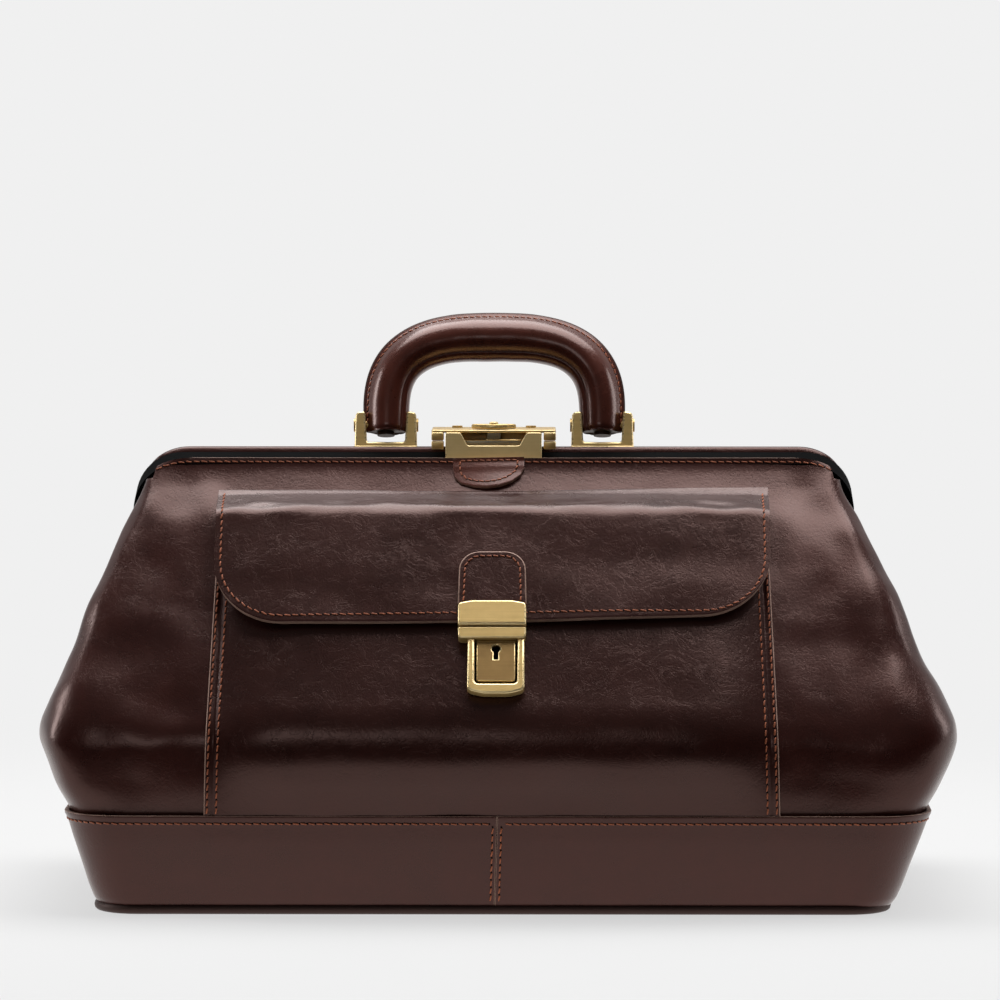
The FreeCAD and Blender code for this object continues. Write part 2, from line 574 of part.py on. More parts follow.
def make_pocket():
    """The pocket's own frame: nought at its mouth's outer edge, +Z up along its sloping face."""
    face = {"y": -SIZES["mouth_offset"], "z": SIZES["mouth_height"], "tilt": POCKET_TILT}

    pocket = new_body("pocket_panel")
    back_bulge = ("-bulge_offset - gap", "bulge_height")
    outline = [("-pocket_foot_offset", "pocket_low"), ("-foot_offset - gap", "pocket_low"), back_bulge,
               ("-mouth_back_offset", "mouth_height", "wall_curve", -1), ("-mouth_offset", "mouth_height"),
               ("-pocket_bulge_offset", "pocket_bulge_height")]
    pad(pocket, "YZ_Plane", "-pocket_half", "pocket_half", outline)
    hollow = [("-bulge_offset + 0.4", "pocket_low + 9"), ("-bulge_offset - 0.2", "bulge_height"),
              ("-mouth_back_offset + 0.3", "mouth_height + 0.2", "wall_curve", -1),
              ("-mouth_offset + 1.25 * leather", "mouth_height + 0.2"),
              ("-pocket_bulge_offset + 1.1 * leather", "pocket_bulge_height"),
              ("-bulge_offset - 0.9", "pocket_low + 9")]
    cut(pocket, "YZ_Plane", "-pocket_half + leather", "pocket_half - leather", hollow)

    strip = new_body("flap_seam_strip", **face)
    pad(strip, "YZ_Plane", "-flap_half", "flap_half", [
        ("9.3", "17.8"), ("11.4", "17.8"), ("11.4", "21"), ("9.3", "21")])

    flap = new_body("pocket_flap", **face)
    under, over = "-0.5", "-0.5 - leather"
    pad(flap, "YZ_Plane", "-flap_half", "flap_half", [
        (under, "-flap_drop"), (under, "0.8"), ("10.8", "15.6"), ("8.9", "17.1"), (over, "1.6"),
        (over, "-flap_drop")])
    round_edges(flap, "flap_corner", lambda b: b.YLength > 1 and b.XLength < 0.1 and b.ZLength < 4
                and b.ZMax < SIZES["mouth_height"] - 20)

    tab = new_body("flap_tab", **face)
    reach, top, low = "15.4", "-20.1", "-45.7"
    pad(tab, "XZ_Plane", "-5", "-3", [
        (f"-{reach}", low), (reach, low), (reach, f"{top} - 8"), (f"{reach} - 8", top, "8", 1),
        (f"-{reach} + 8", top), (f"-{reach}", f"{top} - 8", "8", 1)])

    hasp = new_body("flap_hasp", **face)
    pad(hasp, "YZ_Plane", "-bar_half", "bar_half", [
        ("-7", "-58.1"), ("-0.8", "-58.1"), ("-0.8", "-55.2"), ("-5.2", "-55.2"), ("-5.2", "-45.9"),
        ("-7", "-45.9")])
    pins = []
    for name, x in (("left", "-9"), ("right", "9")):
        spot = {"x": x, "y": "-0.55", "z": "-50"}
        pins.append(stepped_pin(f"flap_rivet_{name}", (0, -1, 0), spot, ("1.3", "0", "5.5")))
    group("flap_rivets", pins, **face)

    case = new_body("pocket_lock_case", **face)
    low, high = "-94.9", "-64.4"
    pad(case, "XZ_Plane", "-1.3", "-gap", box_corners("case_half", low, high))
    pad(case, "XZ_Plane", "-5", "-1.3", [
        ("-case_half", low), ("case_half", low), ("case_half", high), ("case_half - 3.4", high),
        ("case_half - 3.4", f"{low} + 5.3"), ("-case_half + 3.4", f"{low} + 5.3"),
        ("-case_half + 3.4", high), ("-case_half", high)])

    bar = new_body("pocket_lock_bar", **face)
    pad(bar, "XZ_Plane", "-6", "-gap", box_corners("bar_half", "-64.2", "-58.6"))
    cut(bar, "XZ_Plane", "-3.4", "1", box_corners("11", "-66", "-57"))

    button = new_body("pocket_lock_button", **face)
    pad(button, "XZ_Plane", "-4", "-1.6", box_corners("button_half", "-87", "-64.6"))
    cut(button, "XZ_Plane", "-5", "-1", circles=[("0", "-70.4", "1.9")])
    cut(button, "XZ_Plane", "-5", "-1", box_corners("1", "-75.5", "-70.4"))

    back = new_body("pocket_lock_backplate", **face)
    pad(back, "XZ_Plane", "1.1 * leather + 0.2", "1.1 * leather + 1.2", box_corners("11", "-92", "-66"))
    pins = []
    for i, (x, z) in enumerate(((-10.2, -91), (10.2, -91), (-10.2, -68), (10.2, -68))):
        spot = {"x": x, "y": "1.1 * leather + 1.2", "z": z}
        pins.append(stepped_pin(f"pocket_lock_rivet_{i}", (0, -1, 0), spot, ("0.8", "0", "5")))
    group("pocket_lock_rivets", pins, **face)

    front_tab = new_body("front_tab", y=-SIZES["wall_top_offset"], z=SIZES["wall_top"], tilt=SHEET_TOP_TILT)
    pad(front_tab, "XZ_Plane", "-2.7", "-0.5", [
        ("-8", "-5.6"), ("8", "-5.6"), ("16", "2.4", "8", 1), ("16", "5.2"), ("-16", "5.2"), ("-16", "2.4"),
        ("-8", "-5.6", "8", 1)][1:])


def check_and_write():
    doc.recompute()
    for thing in doc.Objects:
        if "Invalid" in thing.State or "Error" in thing.State:
            raise RuntimeError(f"{thing.Label} failed: {thing.State}")
    os.makedirs("parts", exist_ok=True)
    for part in PARTS:
        shape = part.Shape
        if shape.isNull() or not shape.isValid() or not shape.Solids:
            raise RuntimeError(f"{part.Label} has no valid solid")
        shape.exportStep(f"parts/{part.Label}.step")
        print(f"{part.Label}: {len(shape.Solids)} solid(s), {shape.Volume / 1000:.2f} cm3")


make_base()
make_gusset("end_gusset_left", -1)
make_gusset("end_gusset_right", 1)
make_wall("front", -1)
make_wall("back", 1)
make_jaws()
make_lock()
make_handle()
make_pocket()
check_and_write()
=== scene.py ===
# %% [markdown]
# # A leather doctor bag over its CAD frame
# The CAD frame says where every piece sits, how big it is and how it moves. This script keeps that frame as
# it is and sews the visible bag over it: soft leather halves, a pocket with a flap, brass locks and a
# padded handle. Each cell builds one piece. The text before it says what the piece is on a real bag and why
# it is made this way.

# %% Load the frame
import json
import math

import bpy
import numpy as np
from mathutils import Matrix, Vector, noise


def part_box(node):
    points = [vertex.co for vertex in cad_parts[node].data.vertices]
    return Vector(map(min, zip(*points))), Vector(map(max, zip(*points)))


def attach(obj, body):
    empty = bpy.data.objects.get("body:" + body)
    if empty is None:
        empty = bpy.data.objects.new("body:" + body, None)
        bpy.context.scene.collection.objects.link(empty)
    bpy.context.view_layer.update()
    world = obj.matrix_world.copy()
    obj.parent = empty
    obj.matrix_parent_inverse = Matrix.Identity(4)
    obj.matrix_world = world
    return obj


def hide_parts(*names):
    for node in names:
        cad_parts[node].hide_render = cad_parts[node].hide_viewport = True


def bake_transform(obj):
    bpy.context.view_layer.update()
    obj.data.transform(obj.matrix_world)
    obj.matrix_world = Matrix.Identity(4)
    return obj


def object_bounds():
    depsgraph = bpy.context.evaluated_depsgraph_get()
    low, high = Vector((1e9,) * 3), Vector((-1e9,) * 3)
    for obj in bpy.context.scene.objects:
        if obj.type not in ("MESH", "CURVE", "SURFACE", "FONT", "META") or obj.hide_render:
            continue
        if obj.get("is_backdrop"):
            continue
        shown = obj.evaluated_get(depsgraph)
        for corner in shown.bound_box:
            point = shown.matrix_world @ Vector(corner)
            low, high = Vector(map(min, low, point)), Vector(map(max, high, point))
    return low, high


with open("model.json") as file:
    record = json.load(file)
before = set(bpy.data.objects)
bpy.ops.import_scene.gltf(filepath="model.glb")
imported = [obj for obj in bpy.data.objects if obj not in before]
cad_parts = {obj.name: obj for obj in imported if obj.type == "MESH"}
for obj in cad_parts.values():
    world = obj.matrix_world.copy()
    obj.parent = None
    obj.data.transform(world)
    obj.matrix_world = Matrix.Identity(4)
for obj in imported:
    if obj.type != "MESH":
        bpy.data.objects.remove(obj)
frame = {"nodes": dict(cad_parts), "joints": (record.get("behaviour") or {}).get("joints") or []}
bpy.context.view_layer.update()
MM = 0.001

# %% [markdown]
# ## Where things turn
# A frame bag opens like a mouth. Each wall swings out about its foot, and each steel jaw turns about the
# seam at the wall's top edge. These lines are read from the joints. Three small frames of reference follow
# from them: one on each jaw, and one on the sloping face of the pocket.

# %% Joint lines and local frames
joints = {joint["name"]: joint for joint in frame["joints"]}


def joint_point(name):
    """Where a joint sits, in millimetres."""
    return Vector(joints[name]["pos_m"]) / MM


SEAM = joint_point("front_jaw_turn")
HANDLE_PIN = joint_point("handle_swing")
FLAP_LINE = joint_point("flap_swing")
pin_low, pin_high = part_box("end_pivot_pins")
PIVOT = Vector((0, 0, (pin_low.z + pin_high.z) / 2 / MM))
JAW_TILT = math.atan2(-SEAM.y, SEAM.z - PIVOT.z)
JAW = (SEAM - PIVOT).length
FRONT, BACK = -1, 1


def turned(origin, tilt):
    """A frame of reference at a point, leaning about the X axis, in millimetres."""
    return Matrix.Translation(origin) @ Matrix.Rotation(tilt, 4, "X")


FRONT_JAW = turned(PIVOT, JAW_TILT)
BACK_JAW = turned(PIVOT, -JAW_TILT)
GRIP = turned(HANDLE_PIN, -JAW_TILT)
FACE_UP = -Vector(joints["pocket_button_press"]["axis"]).normalized()
FACE_OUT = Vector((0, -FACE_UP.z, FACE_UP.y))
FACE_TILT = -math.atan2(FACE_UP.y, FACE_UP.z)
HINGE_UP, HINGE_IN = 17.1, 8.9
FACE_ORIGIN = FLAP_LINE - FACE_UP * HINGE_UP + FACE_OUT * HINGE_IN
FACE = turned(FACE_ORIGIN, FACE_TILT)
print("jaw length", round(JAW, 1), "mm, jaw tilt", round(math.degrees(JAW_TILT), 1), "degrees")

# %% [markdown]
# ## A small language for finishes
# A material in Blender is a graph of nodes. Writing the graph as sums and products reads better than wiring
# it by hand, so `Wire` wraps one output of a node and turns `+`, `-`, `*` and `**` into Math nodes.
# `Finish` holds one material and has one method that adds any other node.

# %% Shader language
class Wire:
    """One output of a node. Arithmetic on it adds Math nodes."""

    def __init__(self, finish, socket):
        self.finish = finish
        self.socket = socket

    def math(self, operation, *others):
        node = self.finish.tree.nodes.new("ShaderNodeMath")
        node.operation = operation
        for slot, value in zip(node.inputs, (self, *others)):
            self.finish.feed(slot, value)
        return Wire(self.finish, node.outputs[0])

    def __add__(self, other):
        return self.math("ADD", other)

    def __sub__(self, other):
        return self.math("SUBTRACT", other)

    def __rsub__(self, other):
        return self.math("MULTIPLY", -1.0) + other

    def __mul__(self, other):
        return self.math("MULTIPLY", other)

    def __pow__(self, other):
        return self.math("POWER", other)

    __radd__ = __add__
    __rmul__ = __mul__

    def clamp(self):
        return self.math("MAXIMUM", 0.0).math("MINIMUM", 1.0)

    def step(self, low, high):
        """0 below low, 1 above high and smooth between."""
        return self.finish.node(
            "MapRange", {"interpolation_type": "SMOOTHSTEP"}, Value=self, From_Min=low, From_Max=high
        )


class Finish:
    """One material while it is being mixed."""

    def __init__(self, name):
        self.material = bpy.data.materials.new(name)
        self.material.use_nodes = True
        self.tree = self.material.node_tree
        self.tree.nodes.clear()

    def feed(self, socket, value):
        if isinstance(value, Wire):
            self.tree.links.new(value.socket, socket)
        elif socket.type == "RGBA" and len(value) == 3:
            socket.default_value = (*value, 1)
        else:
            socket.default_value = value

    def node(self, kind, settings=None, out=0, **values):
        """Adds a node: its settings first, then the values or wires of its sockets."""
        made = self.tree.nodes.new("ShaderNode" + kind)
        for key, value in (settings or {}).items():
            setattr(made, key, value)
        for key, value in values.items():
            slot = int(key[1:]) if key[1:].isdigit() else key.replace("_", " ")
            self.feed(made.inputs[slot], value)
        return Wire(self, made.outputs[out])

    def mix(self, first, second, share):
        """Blends two colours. A colour Mix node keeps its factor at 0 and its colours at 6 and 7."""
        return self.node("Mix", {"data_type": "RGBA"}, out=2, s0=share, s6=first, s7=second)

    def done(self, **values):
        """The surface itself, on the material's output."""
        surface = self.node("BsdfPrincipled", **values)
        output = self.tree.nodes.new("ShaderNodeOutputMaterial")
        self.tree.links.new(surface.socket, output.inputs["Surface"])
        return self.material


def srgb(red, green, blue):
    """A colour as seen on screen, 0 to 255, turned into the linear values that shaders use."""
    return tuple(
        value / 255 / 12.92 if value <= 10 else ((value / 255 + 0.055) / 1.055) ** 2.4
        for value in (red, green, blue)
    )


print("the shader language is ready")

# %% [markdown]
# ## Polished leather
# Calf leather of this kind is dyed almost black-brown and glazed. Three sizes of texture make it: soft
# clouds of dye, creases a few millimetres apart that catch the light in streaks, and pores about a
# millimetre across. The clouds change the colour and the gloss. Creases and pores are relief, so they
# mainly change the bump. The glaze is brown too, so reflections are tinted warm. A thin clear coat gives
# the handle its wet highlights.

# %% Leather finish
def leather(name, deep, warm, gloss=0.27, crease=1.0, coat=0.06):
    finish = Finish(name)
    where = finish.node("TexCoord", out="Object")
    cloud = finish.node("TexNoise", Vector=where, Scale=22.0, Detail=5.0, Roughness=0.62)
    patch = finish.node("TexNoise", Vector=where, Scale=95.0, Detail=4.0, Roughness=0.6)
    pores = finish.node("TexVoronoi", {"feature": "SMOOTH_F1"}, Vector=where, Scale=950.0, Smoothness=0.4)
    grain = finish.node("TexNoise", Vector=where, Scale=520.0, Detail=3.0, Roughness=0.55)
    warp = finish.node("TexNoise", Vector=where, Scale=85.0, Detail=4.0, Roughness=0.72, Distortion=1.1)
    fold = 1.0 - (warp * 2.0 - 1.0).math("ABSOLUTE") * 11.0
    folds = fold.clamp() ** 2.0
    tone = (cloud * 0.75 + patch * 0.45 - 0.1).clamp()
    colour = finish.mix(deep, warm, tone.step(0.1, 0.95))
    # Along the creases the colour is lifted a little towards a lighter brown.
    lighter_creases = finish.mix(colour, tuple(min(1, part * 1.5) for part in warm), folds * 0.06)
    height = pores * 0.22 + grain * 0.24 - folds * (0.16 * crease) + patch * 0.35
    relief = finish.node("Bump", Strength=0.34, Distance=0.0004, Height=height)
    rough = (gloss + (cloud - 0.5) * 0.1 + (patch - 0.5) * 0.05 + grain * 0.03).clamp()
    return finish.done(
        Base_Color=lighter_creases, Roughness=rough, Normal=relief,
        Coat_Weight=coat, Coat_Roughness=0.16, Specular_IOR_Level=0.5, Specular_Tint=(1.0, 0.62, 0.55, 1.0),
    )


DEEP_BROWN = srgb(33, 11, 9)
WARM_BROWN = srgb(52, 20, 16)
leather_body = leather("leather_body", DEEP_BROWN, WARM_BROWN)
leather_face = leather("leather_face", srgb(29, 10, 8), srgb(46, 18, 14), gloss=0.27, crease=1.2, coat=0.04)
leather_grip = leather("leather_grip", srgb(50, 20, 14), srgb(82, 38, 28), gloss=0.26, crease=0.4, coat=0.3)
leather_dark = leather("leather_dark", srgb(14, 8, 7), srgb(24, 14, 12), gloss=0.55, crease=0.5, coat=0.0)
leather_edge = leather(
    "leather_edge", srgb(124, 98, 86), srgb(166, 138, 124), gloss=0.5, crease=0.3, coat=0.05
)
print("five leathers: body, face, grip, dark and cut edge")

# %% [markdown]
# ## Brass, thread, paint and cloth
# The locks are antique brass: brushed, so fine scratches run one way, with a browner lacquer in the flats
# and bright rubbed corners. The corners get a lighter, glossier finish of their own: partly the rubbed wear
# that sits only there, and partly a painted highlight along every rounded edge. The metal share is below
# one, which stands for the worn lacquer. Thread is twisted and handled, so fine dark and light spots run
# over each stitch.

# %% Metal, thread and lining finishes
def brass(name, deep, bright, gloss, stretch=(18.0, 900.0, 900.0), metal=0.62):
    finish = Finish(name)
    where = finish.node("TexCoord", out="Object")
    along = finish.node("Mapping", Vector=where, Scale=stretch)
    brushed = finish.node("TexNoise", Vector=along, Scale=1.0, Detail=4.0, Roughness=0.7)
    cloud = finish.node("TexNoise", Vector=where, Scale=140.0, Detail=4.0, Roughness=0.6)
    tone = (brushed * 0.55 + cloud * 0.6 - 0.08).clamp()
    relief = finish.node("Bump", Strength=0.22, Distance=0.00008, Height=brushed + cloud * 0.5)
    return finish.done(
        Base_Color=finish.mix(deep, bright, tone), Roughness=(gloss + (brushed - 0.5) * 0.2).clamp(),
        Normal=relief, Metallic=metal,
    )


brass_flat = brass("brass_flat", srgb(178, 146, 88), srgb(226, 194, 130), 0.4)
# Lighter, glossier brass for rounded edges: rubbed wear on the corners, plus a painted highlight along each
# edge.
brass_rubbed_highlit = brass("brass_rubbed_highlit", srgb(222, 190, 128), srgb(250, 230, 178), 0.28)
# The hasp's brass is lighter and less metallic than the rest, so its front face looks lit: painted light.
brass_satin_lit = brass("brass_satin_lit", srgb(206, 174, 112), srgb(240, 212, 150), 0.44, metal=0.3)
# A darker brass for the sunken slide and the case under the top plate: painted shade.
brass_shaded = brass("brass_shaded", srgb(120, 92, 52), srgb(168, 134, 80), 0.42)
steel = brass("steel_grey", srgb(112, 106, 92), srgb(158, 150, 130), 0.34)


def thread_finish():
    finish = Finish("thread")
    where = finish.node("TexCoord", out="Object")
    twist = finish.node("TexNoise", Vector=where, Scale=1800.0, Detail=2.0)
    wear = finish.node("TexNoise", Vector=where, Scale=120.0, Detail=3.0)
    colour = finish.mix(srgb(104, 50, 28), srgb(178, 98, 58), (twist * 0.5 + wear * 0.6 - 0.05).clamp())
    relief = finish.node("Bump", Strength=0.4, Distance=0.0001, Height=twist)
    return finish.done(Base_Color=colour, Roughness=(0.55 + wear * 0.25).clamp(), Normal=relief)


def paint_finish(name, dark, light, gloss):
    finish = Finish(name)
    where = finish.node("TexCoord", out="Object")
    speck = finish.node("TexNoise", Vector=where, Scale=420.0, Detail=4.0)
    cloud = finish.node("TexNoise", Vector=where, Scale=40.0, Detail=3.0)
    relief = finish.node("Bump", Strength=0.15, Distance=0.0001, Height=speck)
    return finish.done(
        Base_Color=finish.mix(dark, light, (speck * 0.4 + cloud * 0.6).clamp()),
        Roughness=(gloss + (cloud - 0.5) * 0.2).clamp(), Normal=relief, Specular_IOR_Level=0.02,
    )


def cloth_finish(name, dark, light):
    finish = Finish(name)
    where = finish.node("TexCoord", out="Object")
    warp = finish.node("TexWave", {"bands_direction": "X"}, Vector=where, Scale=420.0, Distortion=0.6)
    weft = finish.node("TexWave", {"bands_direction": "Z"}, Vector=where, Scale=420.0, Distortion=0.6)
    slub = finish.node("TexNoise", Vector=where, Scale=70.0, Detail=4.0)
    relief = finish.node("Bump", Strength=0.3, Distance=0.0002, Height=warp * weft)
    return finish.done(
        Base_Color=finish.mix(dark, light, (warp * weft * 0.5 + slub * 0.6).clamp()),
        Roughness=(0.7 + slub * 0.2).clamp(), Normal=relief,
    )


thread = thread_finish()
# Near-black discs between stitches: painted shade inside the needle holes.
needle_hole_shade = paint_finish("needle_hole_shade", srgb(12, 8, 7), srgb(20, 13, 11), 0.7)
frame_paint = paint_finish("frame_paint", srgb(1, 1, 2), srgb(5, 5, 5), 0.75)
board = paint_finish("board", srgb(96, 78, 58), srgb(128, 106, 80), 0.7)
lining_cloth = cloth_finish("lining_cloth", srgb(52, 36, 28), srgb(92, 68, 52))
print("brass, steel, thread, paint, board and lining cloth are mixed")

# %% [markdown]
# ## Tools of the bench
# Everything soft here is a grid of points laid over a surface that a function describes. Everything hard is
# a flat outline that is extruded with rounded edges, which is how stamped brass is made. Stitches are small
# capsules laid end to end along a line, with a near-black disc between each two that paints the shade of a
# needle hole.

# %% Mesh helpers
def add_mesh(name, points, faces, *materials):
    """A smooth mesh object from points in millimetres."""
    mesh = bpy.data.meshes.new(name)
    mesh.from_pydata((np.asarray(points, float) * MM).tolist(), [], faces)
    for material in materials:
        mesh.materials.append(material)
    mesh.shade_smooth()
    piece = bpy.data.objects.new(name, mesh)
    bpy.context.scene.collection.objects.link(piece)
    return piece


def grid_faces(rows, columns, closed=False, flip=False):
    """The squares between rows and columns of points; closed joins the last column to the first."""
    faces = []
    for row in range(rows - 1):
        for column in range(columns if closed else columns - 1):
            after = (column + 1) % columns
            face = (
                row * columns + column, row * columns + after,
                (row + 1) * columns + after, (row + 1) * columns + column,
            )
            faces.append(face[::-1] if flip else face)
    return faces


def settle(piece):
    """Applies a piece's modifiers, so its mesh is final."""
    bpy.context.view_layer.update()
    solid = piece.evaluated_get(bpy.context.evaluated_depsgraph_get())
    mesh = bpy.data.meshes.new_from_object(solid)
    piece.modifiers.clear()
    piece.data = mesh
    return piece


def thicken(piece, thickness, rim=0, soften=0.0, inner=0):
    """Gives a sheet its thickness on the inner side, with a rounded cut edge."""
    solid = piece.modifiers.new("thickness", "SOLIDIFY")
    solid.thickness = thickness * MM
    solid.offset = -1
    solid.material_offset_rim = rim
    solid.material_offset = inner
    if soften:
        round_over = piece.modifiers.new("edge", "BEVEL")
        round_over.width = soften * MM
        round_over.segments = 2
        round_over.limit_method = "ANGLE"
        round_over.angle_limit = math.radians(60)
        round_over.material = rim if rim else -1
    return settle(piece)


def rounded(corners, steps=6):
    """An outline through corners (x, y, radius), each rounded off by an arc-like curve."""
    points = []
    count = len(corners)
    for index, (x, y, *radius) in enumerate(corners):
        here = np.array((x, y), float)
        if not radius or not radius[0]:
            points.append(tuple(here))
            continue
        before = np.array(corners[index - 1][:2], float) - here
        after = np.array(corners[(index + 1) % count][:2], float) - here
        before, after = before / np.linalg.norm(before), after / np.linalg.norm(after)
        half = math.acos(max(-1, min(1, float(before @ after)))) / 2
        reach = radius[0] / math.tan(half)
        centre = here + (before + after) / np.linalg.norm(before + after) * radius[0] / math.sin(half)
        start, stop = here + before * reach - centre, here + after * reach - centre
        first = math.atan2(start[1], start[0])
        swing = (math.atan2(stop[1], stop[0]) - first + math.pi) % (2 * math.pi) - math.pi
        for step in range(steps + 1):
            angle = first + swing * step / steps
            points.append((centre[0] + radius[0] * math.cos(angle), centre[1] + radius[0] * math.sin(angle)))
    return points


def circle(x, y, radius, steps=24):
    turn = 2 * math.pi / steps
    return [(x + radius * math.cos(turn * i), y + radius * math.sin(turn * i)) for i in range(steps)]


def stamped(name, outlines, low, high, soften, place, *materials):
    """A flat piece with rounded edges: outlines in its own plane, from depth low to high, in millimetres.
    An outline inside another one is a hole. Faces on the rounded edge take the second material."""
    curve = bpy.data.curves.new(name, "CURVE")
    curve.dimensions = "2D"
    curve.fill_mode = "BOTH"
    curve.extrude = ((high - low) / 2 - soften) * MM
    curve.bevel_depth = soften * MM
    curve.bevel_resolution = 2
    curve.offset = -soften * MM
    for outline in outlines:
        spline = curve.splines.new("POLY")
        spline.points.add(len(outline) - 1)
        for point, (x, y) in zip(spline.points, outline):
            point.co = (x * MM, y * MM, 0, 1)
        spline.use_cyclic_u = True
    maker = bpy.data.objects.new(name + "_maker", curve)
    bpy.context.scene.collection.objects.link(maker)
    bpy.context.view_layer.update()
    mesh = bpy.data.meshes.new_from_object(maker.evaluated_get(bpy.context.evaluated_depsgraph_get()))
    bpy.data.objects.remove(maker)
    mesh.name = name
    for material in materials:
        mesh.materials.append(material)
    if len(materials) > 1:
        for face in mesh.polygons:
            face.material_index = int(0.12 < abs(face.normal.z) < 0.97)
    mesh.shade_smooth()
    mesh.set_sharp_from_angle(angle=math.radians(38))
    lift = Matrix.Translation((0, 0, (low + high) / 2 * MM))
    world = place.copy()
    world.translation = place.translation * MM
    mesh.transform(world @ lift)
    piece = bpy.data.objects.new(name, mesh)
    bpy.context.scene.collection.objects.link(piece)
    return piece


def standing(place):
    """Turns a frame so that an outline stands up in it: the outline's y runs up and depth faces forward."""
    return place @ Matrix.Rotation(math.radians(90), 4, "X")


def joined(name, pieces):
    """Joins several pieces into one."""
    bpy.ops.object.select_all(action="DESELECT")
    for piece in pieces:
        piece.select_set(True)
    bpy.context.view_layer.objects.active = pieces[0]
    bpy.ops.object.join()
    whole = bpy.context.view_layer.objects.active
    whole.name = name
    whole.data.name = name
    return whole


def dressed(piece, slot, *nodes):
    """Hides the CAD nodes that a piece stands for. The slot is not used."""
    if nodes:
        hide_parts(*nodes)
    return piece


print("bench tools are ready")

# %% Stitching helper
STITCH_PITCH, STITCH_LONG, STITCH_THICK = 3.5, 2.8, 0.84


def measured(points):
    """Distance along a line of points."""
    steps = np.linalg.norm(np.diff(points, axis=0), axis=1)
    return np.concatenate([[0], np.cumsum(steps)])


def stitches(name, lines, pitch=STITCH_PITCH, lift=0.12, slant=0.16):
    """Capsules along lines of points. Each line is (points, outward directions), in millimetres."""
    points, faces, kinds = [], [], []
    ring = [(math.cos(a), math.sin(a)) for a in np.linspace(0, 2 * math.pi, 6, endpoint=False)]
    profile = [(-0.5, 0.35), (-0.36, 0.9), (0.36, 0.9), (0.5, 0.35)]
    for line, outward in lines:
        line, outward = np.asarray(line, float), np.asarray(outward, float)
        run = measured(line)
        count = max(2, int(run[-1] / pitch))
        spots = (np.arange(count) + 0.5) * run[-1] / count
        for index, spot in enumerate(spots):
            centre = np.array([np.interp(spot, run, line[:, k]) for k in range(3)])
            ahead = np.array([np.interp(min(spot + 0.8, run[-1]), run, line[:, k]) for k in range(3)])
            behind = np.array([np.interp(max(spot - 0.8, 0), run, line[:, k]) for k in range(3)])
            along = (ahead - behind) / max(np.linalg.norm(ahead - behind), 1e-6)
            up = np.array([np.interp(spot, run, outward[:, k]) for k in range(3)])
            up = up - along * (up @ along)
            up = up / np.linalg.norm(up)
            side = np.cross(along, up)
            wobble = slant + 0.05 * math.sin(index * 2.3)
            along = along + side * wobble
            first = len(points)
            for offset, width in profile:
                for c, s in ring:
                    points.append(
                        centre + along * offset * STITCH_LONG * pitch / STITCH_PITCH + up * lift
                        + (side * c + up * s * 0.8) * width * STITCH_THICK / 2
                    )
            for row in range(len(profile) - 1):
                for k in range(6):
                    a, b = first + row * 6 + k, first + row * 6 + (k + 1) % 6
                    faces.append((a, b, b + 6, a + 6))
                    kinds.append(0)
            faces.append(tuple(first + k for k in reversed(range(6))))
            faces.append(tuple(first + 18 + k for k in range(6)))
            kinds += [0, 0]
            # A near-black disc after each stitch paints the shade of its needle hole.
            hole = centre + (ahead - behind) / np.linalg.norm(ahead - behind) * pitch / 2 + up * 0.05
            first = len(points)
            points += [hole + (side * c + (ahead - behind) / 1.6 * s) * 0.42 for c, s in ring]
            faces.append(tuple(first + k for k in range(6)))
            kinds.append(1)
    piece = add_mesh(name, points, faces, thread, needle_hole_shade)
    piece.data.polygons.foreach_set("material_index", kinds)
    return dressed(piece, "leather_edge")


print("a stitch is", STITCH_LONG, "mm long, one every", STITCH_PITCH, "mm")

# %% [markdown]
# ## The shape of the bag's body
# Seen from above, the body is a rounded box at its foot, widest at the bulge, and a flat letter X further
# up, where the ends fold inwards. Five numbers at a height describe it: how far out the wall is, where the
# wall ends in a soft ridge, where the ridge's outer side is, and where the middle of the folded end is.
# Between these heights the numbers are interpolated and smoothed, which gives the sag of leather, not the
# flats of a box.

# %% Stations of the body
STATIONS = np.array([
    # height, wall out, ridge along, side along, side out, end along
    (44.0, 96.8, 180.0, 191.0, 78.8, 192.5),
    (52.0, 98.6, 184.5, 196.2, 80.5, 198.0),
    (60.0, 99.8, 188.5, 200.5, 81.5, 203.0),
    (70.0, 100.6, 192.0, 204.5, 82.4, 206.5),
    (82.0, 100.2, 194.0, 207.0, 82.5, 208.5),
    (90.0, 95.6, 191.5, 204.0, 78.5, 199.0),
    (100.0, 89.5, 188.6, 200.2, 73.0, 188.0),
    (118.0, 78.0, 182.6, 193.0, 62.0, 158.0),
    (133.0, 68.0, 177.8, 186.6, 54.0, 148.0),
    (145.0, 60.0, 174.0, 181.2, 47.0, 143.0),
    (154.0, 53.5, 170.2, 176.6, 41.5, 140.0),
    (164.0, 46.0, 165.4, 171.6, 35.0, 137.0),
    (173.0, 39.0, 160.8, 167.4, 28.0, 134.0),
    (183.0, 30.5, 156.5, 161.5, 21.5, 131.0),
    (192.0, 22.6, 155.5, 158.5, 17.0, 129.0),
    (200.0, 16.6, 155.0, 158.0, 12.5, 128.0),
])
SHELL_LOW, SHELL_TOP, TOP_MARGIN = 44.0, 198.6, 1.5
CORNER_START, CORNER_LONG, CORNER_DROP = 137, 19, 7.6
SMOOTHING = 6.0


def body_at(height):
    """The five numbers at one height, smoothed over a short window."""
    window = np.linspace(-SMOOTHING, SMOOTHING, 9)
    return [
        float(np.interp(height + window, STATIONS[:, 0], STATIONS[:, k]).mean())
        for k in range(1, STATIONS.shape[1])
    ]


def bend(start, corner, stop, count):
    """A soft bend from start to stop that leans on the corner."""
    share = np.linspace(0, 1, count)[:, None]
    return (1 - share) ** 2 * start + 2 * share * (1 - share) * corner + share ** 2 * stop


WALL_STEPS, RIDGE_STEPS, SIDE_STEPS, END_STEPS = 56, 10, 8, 18


